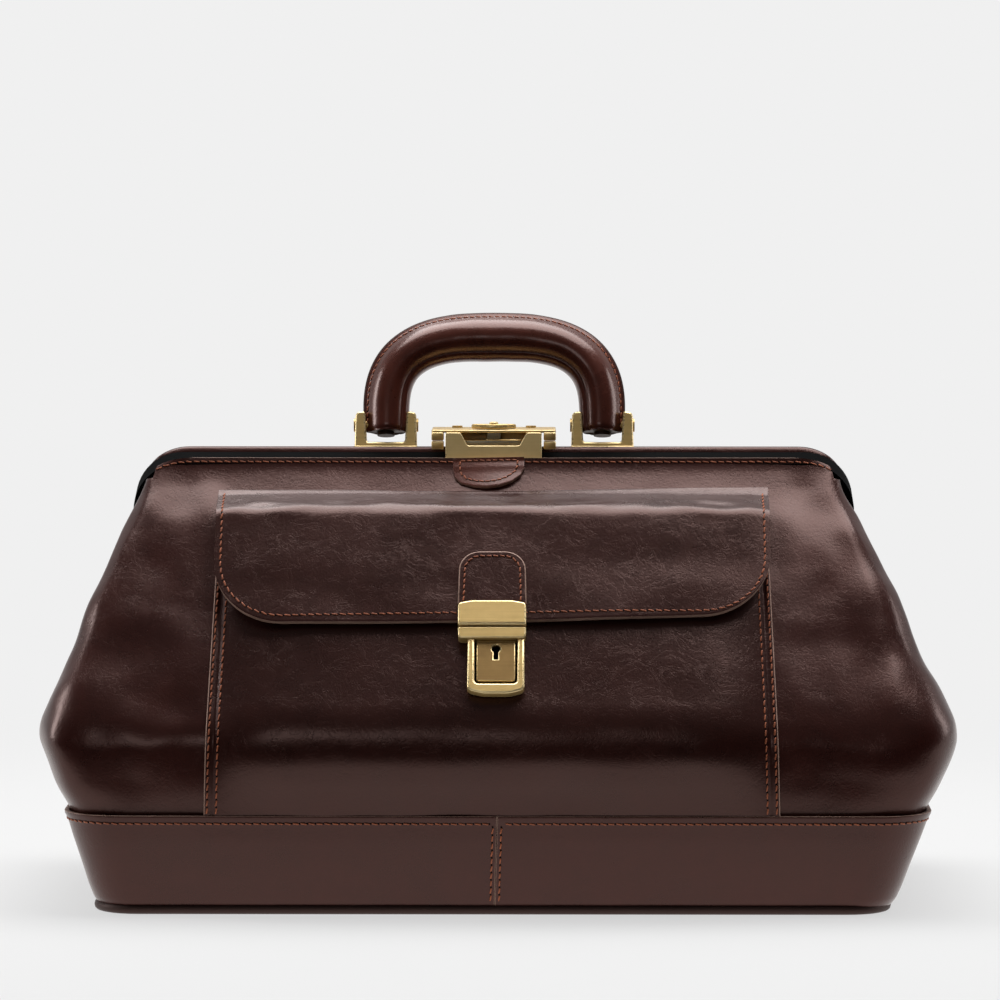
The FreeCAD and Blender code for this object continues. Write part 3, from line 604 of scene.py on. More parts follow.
def half_section(height):
    """Points from the middle of the wall to the middle of the end, for one quarter of the body."""
    wall, ridge_x, side_x, side_y, end_x = body_at(height)
    middle, ridge = np.array((0, -wall)), np.array((ridge_x, -wall + 1.5))
    side, end = np.array((side_x, -side_y)), np.array((end_x, 0.0))
    soft = float(np.interp(height, (60, 81, 120, 170), (15, 13, 7, 3.2)))

    def toward(origin, target, distance):
        line = target - origin
        return origin + line * min(0.48, distance / max(np.linalg.norm(line), 1e-6))

    ridge_in, ridge_out = toward(ridge, middle, soft * 1.4), toward(ridge, side, soft)
    side_in, side_out = toward(side, ridge, soft), toward(side, end, soft * 1.6)
    end_in = toward(end, side, 9.0)
    mirrored = end_in * np.array((1, -1))
    return np.vstack([
        np.linspace(middle, ridge_in, WALL_STEPS, endpoint=False),
        bend(ridge_in, ridge, ridge_out, RIDGE_STEPS)[:-1],
        bend(side_in, side, side_out, SIDE_STEPS)[:-1],
        np.linspace(side_out, end_in, END_STEPS, endpoint=False),
        bend(end_in, end, mirrored, 9)[:5],
    ])


COLUMNS = len(half_section(100.0))
print("each quarter of the body has", COLUMNS, "columns of points")

# %% [markdown]
# ## Sag and puckers
# Leather that has been pulled over a frame is never smooth. It puckers below the corners of the frame,
# hangs in long shallow hollows on the ends, and is calm where the pocket holds it flat. Slow noise moves
# the points a millimetre or two in and out, and a mask keeps the calm places calm.

# %% Leather relief in the mesh
PUCKERS = (
    # side of the bag, distance from its middle, height, how far it stands out
    (-1, 128, 178, 1.9), (-1, 140, 158, 1.6), (1, 133, 170, 1.4), (1, 138, 186, -1.2),
)


def hill(value, centre, width):
    return math.exp(-((value - centre) / width) ** 2)


def sag(point, front):
    """How far a point of the body is moved out, in millimetres."""
    x, y, z = point
    ends = min(1, max(0, (abs(x) - 112) / 40))
    calm = 0.25 + 0.75 * ends if front else 0.7
    rise = min(1, max(0, (z - 48) / 14)) * min(1, max(0, (199 - z) / 12))
    slow = noise.noise(Vector((x / 34, y / 34, z / 26 + 3)))
    quick = noise.noise(Vector((x / 13 + 5, y / 13, z / 17)))
    pucker = 0.0
    for side, where, high, reach in PUCKERS:
        pucker += reach * hill(x, side * where, 8) * hill(z, high, 12)
    return rise * calm * (1.5 * slow + 0.55 * quick + (pucker if front else -0.6 * pucker))


def top_height(x, on_wall, share):
    """How high the leather reaches: level along the wall, dropping round the frame's corner."""
    if on_wall:
        over = max(0.0, min(1.0, (abs(x) - CORNER_START) / CORNER_LONG))
        return SHELL_TOP + TOP_MARGIN - CORNER_DROP * (1 - math.sqrt(1 - over ** 2))
    return 191.0 - 4.5 * share


ROWS = 96


def lean(z):
    """The full lower part of a soft bag settles a little to one side of its frame."""
    return float(np.interp(z, (0, 45, 85, 130, 168), (1.0, 2.4, 2.4, 1.8, 0.0)))


def body_half(front):
    """Rows of points for the front or back half, from one end's middle to the other's."""
    heights = np.linspace(SHELL_LOW, SHELL_TOP, 140)
    table = np.array([half_section(height) for height in heights])
    reach = WALL_STEPS + RIDGE_STEPS // 2
    share = np.linspace(0, 1, ROWS) ** 0.96
    points = np.zeros((ROWS, 2 * COLUMNS - 1, 3))
    for column in range(COLUMNS):
        wall = column < reach
        top = top_height(table[-1, column, 0], wall, (column - reach) / (COLUMNS - reach))
        z = SHELL_LOW + (top - SHELL_LOW) * share
        x = np.interp(z, heights, table[:, column, 0])
        y = np.interp(z, heights, table[:, column, 1])
        points[:, COLUMNS - 1 + column] = np.stack([x, y, z], 1)
        points[:, COLUMNS - 1 - column] = np.stack([-x, y, z], 1)
    across = np.gradient(points, axis=1)
    upward = np.gradient(points, axis=0)
    normal = np.cross(across, upward)
    normal /= np.linalg.norm(normal, axis=2, keepdims=True)
    for row in range(ROWS):
        for column in range(points.shape[1]):
            point = points[row, column]
            keep = min(1.0, abs(point[1]) / 9)
            points[row, column] = point + normal[row, column] * sag(point, front) * keep
            points[row, column, 0] += lean(point[2])
    if not front:
        points[:, :, 1] *= -1
    return points, normal


front_points, front_normals = body_half(True)
back_points, back_normals = body_half(False)
print("each half of the body has", front_points.shape[0] * front_points.shape[1], "points")

# %% [markdown]
# ## Baking each half in place
# When the bag opens, the walls swing out and the folded ends unfold between them. The middle of each end
# stays with the base. Here each piece only has its placement baked into its mesh; it is not blended between
# the base and its wall.


def bend_with_wall(piece):
    """Bakes a piece's placement into its mesh."""
    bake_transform(piece)
    return piece


def sew_half(points, side):
    name = "front" if side == FRONT else "back"
    rows, columns = points.shape[:2]
    flat = points.reshape(-1, 3)
    skin = add_mesh(
        f"leather_{name}", flat, grid_faces(rows, columns, flip=side == BACK), leather_body, leather_edge
    )
    thicken(skin, 2.0, rim=1, soften=0.5)
    dressed(skin, "leather", f"{name}_panel")
    bend_with_wall(skin)
    normal = front_normals.copy() if side == FRONT else back_normals * np.array((1, -1, 1))
    inner = (points - normal * 2.3)[: rows - 2].reshape(-1, 3)
    cloth = add_mesh(f"lining_{name}", inner, grid_faces(rows - 2, columns, flip=side == BACK), lining_cloth)
    thicken(cloth, 0.7)
    dressed(cloth, "lining", f"{name}_lining")
    bend_with_wall(cloth)
    return skin


half_front = sew_half(front_points, FRONT)
half_back = sew_half(back_points, BACK)
dressed(half_front, "leather", "end_gusset_left", "end_gusset_right")
print("leather halves:", len(half_front.data.polygons), "and", len(half_back.data.polygons), "faces")

# %% [markdown]
# ## The base and its band
# A stiff band of leather runs round the foot of the bag, in two halves that meet at a seam in the middle of
# the front and back. It flares outwards and rolls under at the bottom, where a dark welt joins it to the
# base. The band is lofted: the same rounded rectangle at several heights, each a little wider than the one
# below.

# %% Band and welt
BAND = np.array([
    # height, half length, half width, corner radius
    (0.6, 174.5, 84.0, 17.0), (2.4, 178.0, 86.0, 18.0), (6.0, 180.5, 87.6, 18.5), (12.0, 183.0, 89.4, 19.5),
    (22.0, 186.2, 92.6, 21.5), (34.0, 190.2, 96.2, 23.5), (46.0, 194.0, 98.9, 25.0),
])
BAND_TOP = 46.0


def band_at(height, inset=0.0):
    return [float(np.interp(height, BAND[:, 0], BAND[:, k])) - (inset if k < 3 else 0) for k in (1, 2, 3)]


def round_box(half_x, half_y, corner, count, start=0.0, stop=1.0):
    """Evenly spaced points on part of a rounded rectangle, from the middle of the front to the right."""
    corners = [(0, -half_y), (half_x, -half_y, corner), (half_x, half_y, corner),
               (-half_x, half_y, corner), (-half_x, -half_y, corner), (0, -half_y)]
    line = np.array(rounded(corners, 10))
    run = measured(line)
    spots = np.linspace(start, stop, count) * run[-1]
    return np.stack([np.interp(spots, run, line[:, k]) for k in (0, 1)], 1)


def lofted_band(name, start, stop, body_node):
    low, high = np.linspace(0.6, 10, 9), np.linspace(13, BAND_TOP - 1.2, 16)
    heights = np.concatenate([low, high, [BAND_TOP - 0.4, BAND_TOP]])
    count = 170
    rows = []
    for height in heights:
        lip = 0.5 * math.exp(-((height - BAND_TOP + 1.2) / 1.6) ** 2)
        plan = round_box(*band_at(height, -lip), count, start, stop)
        rows.append(np.column_stack([plan, np.full(count, height)]))
    points = np.array(rows)
    for point in points.reshape(-1, 3):
        out = np.array((point[0] / 190, point[1] / 95, 0))
        amount = 0.35 * noise.noise(Vector(point) / 30) * min(1, point[2] / 8)
        point += out / np.linalg.norm(out) * amount
        point[0] += lean(point[2])
    piece = add_mesh(name, points.reshape(-1, 3), grid_faces(len(heights), count), leather_body, leather_edge)
    thicken(piece, 2.2, rim=1, soften=0.6)
    dressed(piece, "leather", body_node)
    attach(piece, "root")
    return piece


SEAM_GAP = 0.00012
band_right = lofted_band("band_right", SEAM_GAP, 0.5 - SEAM_GAP, "base_band_right")
band_left = lofted_band("band_left", 0.5 + SEAM_GAP, 1 - SEAM_GAP, "base_band_left")


def sweep(name, line, radius, material):
    """A rounded cord along a closed line of points."""
    around = np.linspace(0, 2 * math.pi, 12, endpoint=False)
    ahead = np.roll(line, -1, 0) - np.roll(line, 1, 0)
    ahead /= np.linalg.norm(ahead, axis=1, keepdims=True)
    side = np.cross(ahead, (0, 0, 1))
    side /= np.linalg.norm(side, axis=1, keepdims=True)
    lift = np.cross(side, ahead)
    rings = [line + side * math.cos(a) * radius + lift * math.sin(a) * radius for a in around]
    points = np.stack(rings, 1)
    points = np.concatenate([points, points[:1]])
    faces = grid_faces(len(points), len(around), closed=True)
    return add_mesh(name, points.reshape(-1, 3), faces, material)


WELT_RADIUS = 2.2
welt_line = round_box(177.2, 86.0, 18.0, 240)[:-1]
welt_line = np.column_stack([welt_line, np.full(len(welt_line), WELT_RADIUS + 0.05)])
welt = sweep("base_roll", welt_line, WELT_RADIUS, leather_dark)
dressed(welt, "leather_edge", "base_welt")
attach(welt, "root")
print("the band has", len(band_right.data.polygons) * 2, "faces")

# %% [markdown]
# ## Base panel, board and inside lining
# The base itself is hidden in use, but it shows when the bag is tipped or opened: an outer leather panel
# that stands on the table, a stiff board on it, and cloth glued over the board.

# %% Base pieces
def slab(name, box_node, material, slot, soften, corner):
    low, high = (corner_point / MM for corner_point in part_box(box_node))
    half_x, half_y = (high.x - low.x) / 2, (high.y - low.y) / 2
    outline = rounded([(-half_x, -half_y, corner), (half_x, -half_y, corner),
                       (half_x, half_y, corner), (-half_x, half_y, corner)], 8)
    piece = stamped(name, [outline], low.z, high.z, soften, Matrix(), material)
    dressed(piece, slot, box_node)
    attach(piece, "root")
    return piece


base_skin = slab("base_skin", "base_panel", leather_dark, "leather", 0.5, 16)
slab("base_stiffener", "base_board", board, "board", 0.4, 14)
slab("base_cloth", "base_lining", lining_cloth, "lining", 0.2, 14)
print("the base is", round(base_skin.dimensions.x / MM), "mm long")

# %% Band stitching
def band_line(height, start, stop, count, out=0.25):
    half_x, half_y, corner = band_at(height)
    plan = round_box(half_x + out, half_y + out, corner, count, start, stop)
    points = np.column_stack([plan[:, 0] + lean(height), plan[:, 1], np.full(count, height)])
    ahead = np.gradient(plan, axis=0)
    outward = np.column_stack([ahead[:, 1], -ahead[:, 0], np.zeros(count)])
    return points, outward / np.linalg.norm(outward, axis=1, keepdims=True)


def band_post(x, side):
    """A short upright line of stitches beside the seam in the middle of the band."""
    heights = np.linspace(6, BAND_TOP - 5, 14)
    points = [(x + lean(height), side * (band_at(height)[1] + 0.25), height) for height in heights]
    return np.array(points), np.array([(0, side, 0)] * len(points), float)


band_stitches = stitches(
    "stitches_band",
    [band_line(BAND_TOP - 3.6, 0.003, 0.497, 300), band_line(BAND_TOP - 3.6, 0.503, 0.997, 300)]
    + [band_post(x, side) for x in (-1.9, 1.9) for side in (FRONT, BACK)],
)
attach(band_stitches, "root")
print("band stitches:", len(band_stitches.data.polygons), "faces")

# %% [markdown]
# ## Stitching on the walls
# A row of stitches runs along the top edge of each wall, where the leather is sewn to the steel frame. A
# stitch must lie on the leather, so its place is looked up on the finished rows of points.

# %% Top edge stitching
SEAM_DEPTH = 1.9


def wall_row(points, normals, depth, columns):
    """A line a little way down from the top edge of a half."""
    line, outward = [], []
    for column in columns:
        run = measured(points[:, column])
        spot = run[-1] - depth
        line.append([np.interp(spot, run, points[:, column, k]) for k in range(3)])
        outward.append([np.interp(spot, run, normals[:, column, k]) for k in range(3)])
    return np.array(line), np.array(outward)


reach = WALL_STEPS + RIDGE_STEPS // 2
columns = range(COLUMNS - reach, COLUMNS - 1 + reach)
front_row = wall_row(front_points, front_normals, SEAM_DEPTH, columns)
back_row = wall_row(back_points, back_normals * np.array((1, -1, 1)), SEAM_DEPTH, columns)
bend_with_wall(stitches("stitches_front", [front_row]))
bend_with_wall(stitches("stitches_back", [back_row]))
print("top edges are stitched")

# %% [markdown]
# ## End seams
# Each end has a seam up its middle, where the two halves meet. It is a thin raised strip that stays with
# the base, as the middle of the fold does.

# %% End seams
def end_strip(name, sign):
    line = front_points[4:-3, 0 if sign < 0 else -1]
    rows = []
    for width, lift in ((-2.6, 0.0), (-2.2, 0.9), (0, 1.1), (2.2, 0.9), (2.6, 0.0)):
        row = line.copy()
        row[:, 1] = width
        row[:, 0] += sign * lift
        rows.append(row)
    points = np.array(rows).transpose(1, 0, 2)
    faces = grid_faces(len(line), len(rows), flip=sign < 0)
    piece = add_mesh(name, points.reshape(-1, 3), faces, leather_body)
    dressed(piece, "leather")
    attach(piece, "root")
    return piece


end_left = end_strip("end_seam_left", -1)
end_strip("end_seam_right", 1)
print("end seams are", round(end_left.dimensions.z / MM), "mm tall")

# %% [markdown]
# ## The front pocket
# The pocket is one panel of leather, sewn flat along both sides and fuller in the middle, so that it stands
# off the wall by the thickness of what it holds. Its depth rises softly from a narrow sewn margin. The sewn
# margin shows as two rows of stitches with a dark groove between them.

# %% Pocket panel
POCKET_LOW, POCKET_TOP = 44.5, 176.0
SEWN_MARGIN, SEWN_RISE = 3.6, 42.0


def wall_y(z):
    """Where the front wall's outer face is, in y."""
    return -body_at(z)[0]


def pocket_half(z):
    return float(np.interp(z, (44, 176), (128.2, 124.0)))


def pocket_depth(z):
    face = {44: 95.6, 50: 99.8, 60: 105.0, 82: 112.4, 175: 50.0, 182: 45.3}
    return float(np.interp(z, list(face), list(face.values())))


def pocket_point(x, z):
    half = pocket_half(z)
    inside = min(1.0, max(0.0, (half - SEWN_MARGIN - abs(x)) / SEWN_RISE))
    rise = 1 - (1 - inside) ** 2.6
    crown = 1 - 0.16 * (x / half) ** 2
    wall = wall_y(z) - 1.3
    window = np.linspace(-13, 13, 9)
    front = -float(np.mean([pocket_depth(z + step) for step in window]))
    groove = 0.7 * hill(abs(x), half - SEWN_MARGIN, 0.9)
    relief = 0.5 * noise.noise(Vector((x / 30, 9, z / 22))) * rise
    return Vector((x, wall + (front - wall) * rise * crown + groove + relief, z))


def pocket_sheet():
    spread = np.sin(np.linspace(-1, 1, 151) * math.pi / 2)
    mixed = 0.55 * spread + 0.45 * np.linspace(-1, 1, 151)
    heights = np.linspace(POCKET_LOW, POCKET_TOP, 84)
    points = [pocket_point(pocket_half(z) * across, z) for z in heights for across in mixed]
    return points, len(heights), len(mixed)


points, rows, across = pocket_sheet()
pocket = add_mesh("pocket", points, grid_faces(rows, across), leather_face, leather_edge)
thicken(pocket, 1.8, rim=1, soften=0.5)
dressed(pocket, "leather", "pocket_panel")
bend_with_wall(pocket)


def pocket_side(sign, inset):
    heights = np.linspace(46.5, POCKET_TOP - 2, 70)
    points = np.array([pocket_point(sign * (pocket_half(z) - inset), z) for z in heights])
    climb = np.gradient(points, axis=0)
    outward = np.cross((1, 0, 0), climb)
    return points, outward / np.linalg.norm(outward, axis=1, keepdims=True)


pocket_stitches = stitches(
    "stitches_pocket", [pocket_side(sign, inset) for sign in (-1, 1) for inset in (1.5, 5.6)]
)
bend_with_wall(pocket_stitches)
print("the pocket is", round(pocket.dimensions.x / MM), "mm wide")

# %% [markdown]
# ## The flap
# The flap is a heavier sheet, sewn to the wall along its top edge. It slopes forward over the pocket's
# mouth, bends, and hangs down the pocket's face. Its lower corners are rounded and its cut edge is left
# light. It is laid out as a sheet along that bent path, so stitches can follow its outline at a fixed
# distance.

# %% Flap sheet
FLAP_HALF = 125.0
FLAP_CORNER = 31.0
FLAP_PATH = [(-11.4, 21.6, 0), (-9.2, 17.6, 5), (3.0, 3.2, 9), (3.1, -58.0, 0)]


def face_point(x, out, up):
    """A point given on the pocket's face: across, outwards and up the slope."""
    return FACE_ORIGIN + Vector((x, 0, 0)) + FACE_OUT * out + FACE_UP * up


flap_line = np.array(rounded(FLAP_PATH, 8))
flap_run = measured(flap_line)
FLAP_LONG = flap_run[-1]


def flap_bottom(x):
    """How far down the sheet reaches, along its path. Its right end was cut a little shorter."""
    aside = x / FLAP_HALF
    lowest = FLAP_LONG - 3.4 - 2.5 * aside - 2.5 * aside ** 2
    over = max(0.0, (abs(x) - (FLAP_HALF - FLAP_CORNER)) / FLAP_CORNER)
    return lowest - FLAP_CORNER * (1 - math.sqrt(max(0.0, 1 - over ** 2)))


def flap_top(x):
    """The top edge waves a little where it was sewn on."""
    return float(np.interp(x, (-122, -70, -35, 10, 45, 90, 122), (0.6, 0.4, 1.8, 1.6, 0.2, -1.2, -1.6)))


def flap_surface(x, along):
    """A point on the flap's outer face and its outward direction."""
    spot = min(max(along, 0), FLAP_LONG)
    out, up = (float(np.interp(spot, flap_run, flap_line[:, k])) for k in (0, 1))
    if along < 0:
        up -= along * 0.85
        out += along * 0.3
    spots = np.clip((spot - 1.5, spot + 1.5), 0, FLAP_LONG)
    near = np.stack([np.interp(spots, flap_run, flap_line[:, k]) for k in (0, 1)], 1)
    tangent = (near[1] - near[0]) / np.linalg.norm(near[1] - near[0])
    normal = FACE_OUT * -tangent[1] + FACE_UP * tangent[0]
    share = min(1, spot / 20)
    ripple = 0.5 * noise.noise(Vector((x / 34, spot / 20, 1)))
    ripple += 0.9 * noise.noise(Vector((x / 16, spot / 7, 4))) * hill(spot, 16, 9)
    crown = (0.8 - 2.0 * abs(x / FLAP_HALF) ** 5) * share
    edge = min(1, (FLAP_HALF - abs(x)) / 10)
    return face_point(x, out, up) + normal * (ripple * share * edge + crown), normal


def flap_sheet():
    columns = 0.6 * np.sin(np.linspace(-1, 1, 181) * math.pi / 2) + 0.4 * np.linspace(-1, 1, 181)
    rows = 64
    points = []
    for row in range(rows):
        for across in columns:
            x = across * FLAP_HALF
            low, high = flap_top(x), flap_bottom(x)
            points.append(flap_surface(x, low + (high - low) * row / (rows - 1))[0])
    return points, rows, len(columns)


def bend_with_flap(piece):
    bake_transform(piece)
    return piece


points, rows, across = flap_sheet()
flap = add_mesh("flap", points, grid_faces(rows, across, flip=True), leather_face, leather_edge)
thicken(flap, 2.3, rim=1, soften=0.95)
dressed(flap, "leather", "pocket_flap", "flap_seam_strip")
bend_with_flap(flap)
print("the flap's sheet is", round(FLAP_LONG), "mm long over its bend")

# %% Flap stitching
def flap_outline(inset):
    """A line at a fixed distance inside the flap's edge, down one side, round and up the other."""
    half = FLAP_HALF - inset
    corner = FLAP_CORNER - inset
    left, right = flap_bottom(-90) - inset, flap_bottom(90) - inset
    plan = rounded([(-half, 3.0), (-half, left, corner), (half, right, corner), (half, 3.0)], 12)
    plan = np.array(plan)
    run = measured(plan)
    spots = np.linspace(0, run[-1], 420)
    line = [(np.interp(s, run, plan[:, 0]), np.interp(s, run, plan[:, 1])) for s in spots]
    found = [flap_surface(x, along) for x, along in line]
    return np.array([f[0] for f in found]), np.array([f[1] for f in found])


flap_stitches = stitches("stitches_flap", [flap_outline(2.7)], slant=0.2)
bend_with_flap(flap_stitches)
print("flap stitches:", len(flap_stitches.data.polygons), "faces")

# %% [markdown]
# ## Flap tab and brass hasp
# A small tab of leather reinforces the flap where the lock's upper half is riveted on. The upper half is a
# brass plate with a slightly domed top edge. Both hang on the flap and leave with it when the flap opens.

# %% Tab and upper lock plate
def on_face(name, outlines, low, high, soften, *materials):
    """A stamped piece on the pocket's face, low to high millimetres in front of it."""
    return stamped(name, outlines, low, high, soften, standing(FACE), *materials)


TAB_HALF = 15.4
TAB_UP, TAB_IN = -20.2, 0.6
tab_outline = rounded([
    (-TAB_HALF, -47), (TAB_HALF, -47), (TAB_HALF - TAB_IN, TAB_UP, 9.5), (-TAB_HALF + TAB_IN, TAB_UP, 9.5),
], 10)
flap_tab = on_face("flap_tab_leather", [tab_outline], 3.4, 5.6, 0.6, leather_face, leather_edge)
dressed(flap_tab, "leather", "flap_tab")
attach(flap_tab, "flap")


def tab_stitch_line(inset):
    half = TAB_HALF - inset
    plan = np.array(rounded([
        (-half, -46), (-half + TAB_IN, TAB_UP - inset, 7.5),
        (half - TAB_IN, TAB_UP - inset, 7.5), (half, -46),
    ], 10))
    points = np.array([face_point(x, 5.7, up) for x, up in plan])
    return points, np.array([FACE_OUT] * len(points))


tab_stitches = stitches("stitches_tab", [tab_stitch_line(2.6)], pitch=2.9)
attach(tab_stitches, "flap")
upper_plate = on_face(
    "lock_upper_plate",
    [rounded([(-15.2, -58.0, 0.6), (15.2, -58.0, 0.6), (15.2, -47.4, 1.8), (9, -46.1, 14), (-9, -46.1, 14),
              (-15.2, -47.4, 1.8)], 6)],
    2.6, 7.4, 0.8, brass_flat, brass_rubbed_highlit,
)
# The lower lip is all of the bright edge brass: a painted highlight along the plate's bottom edge.
upper_lip = on_face(
    "lock_upper_lip",
    [rounded([(-15.0, -58.4, 0.4), (15.0, -58.4, 0.4), (15.0, -57.0, 0.4), (-15.0, -57.0, 0.4)])],
    2.4, 7.0, 0.3, brass_rubbed_highlit,
)
upper_plate = joined("lock_upper_plate", [upper_plate, upper_lip])
dressed(upper_plate, "brass", "flap_hasp")
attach(upper_plate, "flap")
print("the flap carries its tab and plate")

# %% [markdown]
# ## The tuck lock's case
# Below the flap sits the lock: a cross bar, and under it a case with a raised rim round a sunken plate with
# a keyhole. The sunken plate is a button that slides down to let the hasp go, so it is a piece of its own.
# The gap round it is dark because a near-black sheet inside the rim paints its shade.

# %% Tuck lock
CASE_SHIFT = 1.8
case_plan = [
    (-12.7, -64.4, 0), (-9.5, -64.4, 0), (-9.5, -86.9, 2.0), (9.5, -86.9, 2.0), (9.5, -64.4, 0),
    (12.7, -64.4, 0), (12.7, -89.9, 2.6), (6, -91.8, 14), (-6, -91.8, 14), (-12.7, -89.9, 2.6),
]
case_plan = [(corner[0] + CASE_SHIFT, *corner[1:]) for corner in case_plan]
lock_case_rim = on_face("pocket_lock_rim", [rounded(case_plan, 6)], 0.4, 5.2, 0.9, brass_flat, brass_rubbed_highlit)
dressed(lock_case_rim, "brass", "pocket_lock_case", "pocket_lock_rivets", "pocket_lock_backplate")
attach(lock_case_rim, "front_wall")
# A near-black sheet inside the rim paints the shade in the gap round the slide and behind the keyhole.
recess = on_face(
    "pocket_lock_recess", [[(-8.4, -64.8), (12, -64.8), (12, -88), (-8.4, -88)]],
    0.2, 1.2, 0.1, frame_paint,
)
dressed(recess, "frame_paint")
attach(recess, "front_wall")
cross_bar = on_face(
    "pocket_lock_crossbar",
    [rounded([(-15.0, -64.6, 1.6), (15.0, -64.6, 1.6), (15.2, -58.9, 1.0), (-15.2, -58.9, 1.0)], 5)],
    0.4, 6.2, 0.7, brass_flat, brass_rubbed_highlit,
)
dressed(cross_bar, "brass", "pocket_lock_bar")
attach(cross_bar, "front_wall")


def keyhole(up, head=1.95, slot=0.95, drop=5.4):
    """A round head with a short slot below it."""
    angle = math.asin(slot / head)
    turns = np.linspace(-math.pi / 2 + angle, 1.5 * math.pi - angle, 22)
    head_points = [(head * math.cos(t), up + head * math.sin(t)) for t in turns]
    head_points += [(-slot * 1.1, up - drop), (slot * 1.1, up - drop)]
    return [(x + CASE_SHIFT, y) for x, y in head_points]


button_plan = [(-8.6, -64.9), (8.6, -64.9), (8.6, -85.2, 1.2), (-8.6, -85.2, 1.2)]
button_plan = rounded([(corner[0] + CASE_SHIFT, *corner[1:]) for corner in button_plan], 5)
# The sunken slide takes the darker brass, which paints the shade in its recess.
button_plate = on_face(
    "pocket_lock_slide", [button_plan, keyhole(-69.0)], 1.8, 3.9, 0.45, brass_shaded, brass_rubbed_highlit
)
dressed(button_plate, "brass", "pocket_lock_button")
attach(button_plate, "pocket_button")
print("the tuck lock has a bar, a rim, a recess and a slide")

# %% [markdown]
# ## The steel jaws
# The jaws are the bag's skeleton: two flat steel bars bent into a U, painted a dull black. Their CAD shapes
# are already right, so they stay as they are and only get paint. The back jaw is covered with leather,
# which shows as a brown edge behind the black one.

# %% Jaw paint and the covered back jaw
def repaint(node, material):
    piece = frame["nodes"][node]
    piece.data.materials.clear()
    piece.data.materials.append(material)
    piece.data.shade_smooth()
    piece.data.set_sharp_from_angle(angle=math.radians(30))
    return piece


for node in ("front_jaw_frame", "back_jaw_frame"):
    repaint(node, frame_paint)
for node in ("end_pivot_pins", "handle_pins", "hasp_rivets", "lock_screws", "bracket_rivets", "flap_rivets"):
    repaint(node, brass_flat)
repaint("handle_core", leather_dark)

COVER_HALF, COVER_CORNER, COVER_DEPTH = 164.4, 24.0, 17.4


def cover_line(top, half, corner):
    """The outline of a jaw from one leg over the top to the other leg, in the jaw's own plane."""
    leg = JAW - 22
    plan = rounded([(-half, leg, 0), (-half, top, corner), (half, top, corner), (half, leg, 0)], 12)
    plan = np.array(plan)
    run = measured(plan)
    spots = np.linspace(0, run[-1], 220)
    return np.stack([np.interp(spots, run, plan[:, k]) for k in (0, 1)], 1)


def jaw_cover():
    outer = cover_line(JAW + 2.4, COVER_HALF, COVER_CORNER)
    centre = cover_line(JAW - 1.6, COVER_HALF - 3.1, COVER_CORNER - 3)
    points = []
    for (x, z), (inner_x, inner_z) in zip(outer, centre):
        near = min(1.0, max(0.0, (z - (JAW - 24)) / 22))
        front_edge = -COVER_DEPTH * near - 3.0 * (1 - near)
        depth = [(1.0, 0.9), (0.55, 0.2), (0.0, -0.4), (0.0, front_edge + 1.4), (0.25, front_edge + 0.3),
                 (0.75, front_edge), (1.0, front_edge + 0.1)]
        for share, y in depth:
            points.append(BACK_JAW @ Vector((x + (inner_x - x) * share, y, z + (inner_z - z) * share)))
    return points, len(outer), 7


points, rows, across = jaw_cover()
cover = add_mesh("back_jaw_leather", points, grid_faces(rows, across), leather_body)
thicken(cover, 0.6)
dressed(cover, "leather", "back_jaw_cover")
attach(cover, "back_jaw")
print("the back jaw is covered")

# %% [markdown]
# ## The top lock
# On the front jaw stands a stamped hasp with a window. Behind it, on the back jaw, sits a case under a thin
# cover plate, with a knuckle at each end and a sliding bolt with a thumb piece. Rounded corners carry the
# light, so every plate gets a bright edge finish: rubbed wear plus a painted highlight.

# %% Top lock
HASP_FOOT = JAW + 0.1


def hasp_panel():
    """The hasp's standing part, with a window that is open at the top."""
    return rounded([
        (-22, 0.0), (22, 0.0), (22, 15.2, 0.8), (15.2, 15.2, 1.0), (11.8, 9.2, 1.4), (-11.8, 9.2, 1.4),
        (-15.2, 15.2, 1.0), (-22, 15.2, 0.8),
    ], 5)


HASP_LEAN = -JAW_TILT * 1.35
hasp_place = FRONT_JAW @ turned((0, 1.2, HASP_FOOT - 1.6), HASP_LEAN)
# The hasp takes the lighter hasp brass, which paints the light on its front face.
hasp = stamped("top_hasp", [hasp_panel()], -0.2, 1.2, 0.45, standing(hasp_place), brass_satin_lit, brass_rubbed_highlit)
hasp_foot = stamped(
    "top_hasp_foot", [rounded([(-22, 0.4), (22, 0.4), (22, 13), (-22, 13)])], 0, 1.2, 0.3,
    FRONT_JAW @ Matrix.Translation((0, 0, HASP_FOOT)), brass_satin_lit, brass_rubbed_highlit,
)
hasp = joined("top_hasp", [hasp, hasp_foot])
dressed(hasp, "brass", "hasp_plate")
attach(hasp, "front_jaw")

plate_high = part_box("lock_top_plate")[1] / MM
plate_half = plate_high.x
top_plate = stamped(
    "top_lock_plate",
    [
        rounded([
            (-plate_half, -11.5, 1.5), (plate_half, -11.5, 1.5), (plate_half, 14, 2), (-plate_half, 14, 2),
        ]),
        [(-3.5, -9.5), (11.5, -9.5), (11.5, -3.5), (-3.5, -3.5)],
    ],
    plate_high.z - 1.2, plate_high.z, 0.35, Matrix(), brass_flat, brass_rubbed_highlit,
)
knuckles = []
for sign in (-1, 1):
    for low, high in ((203.5, 207.3), (207.6, plate_high.z - 1.0)):
        edges = sorted((sign * (plate_half - 5.6), sign * plate_half))
        knuckles.append(stamped(
            "knuckle", [rounded([(edges[0], -12.0, 0.7), (edges[1], -12.0, 0.7), (edges[1], -6.8, 0.7),
                                 (edges[0], -6.8, 0.7)], 3)],
            low, high, 0.6, Matrix(), brass_flat, brass_rubbed_highlit,
        ))
top_plate = joined("top_lock_plate", [top_plate, *knuckles])
dressed(top_plate, "brass", "lock_top_plate")
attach(top_plate, "back_jaw")

case_low, case_high = (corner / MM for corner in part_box("lock_case"))
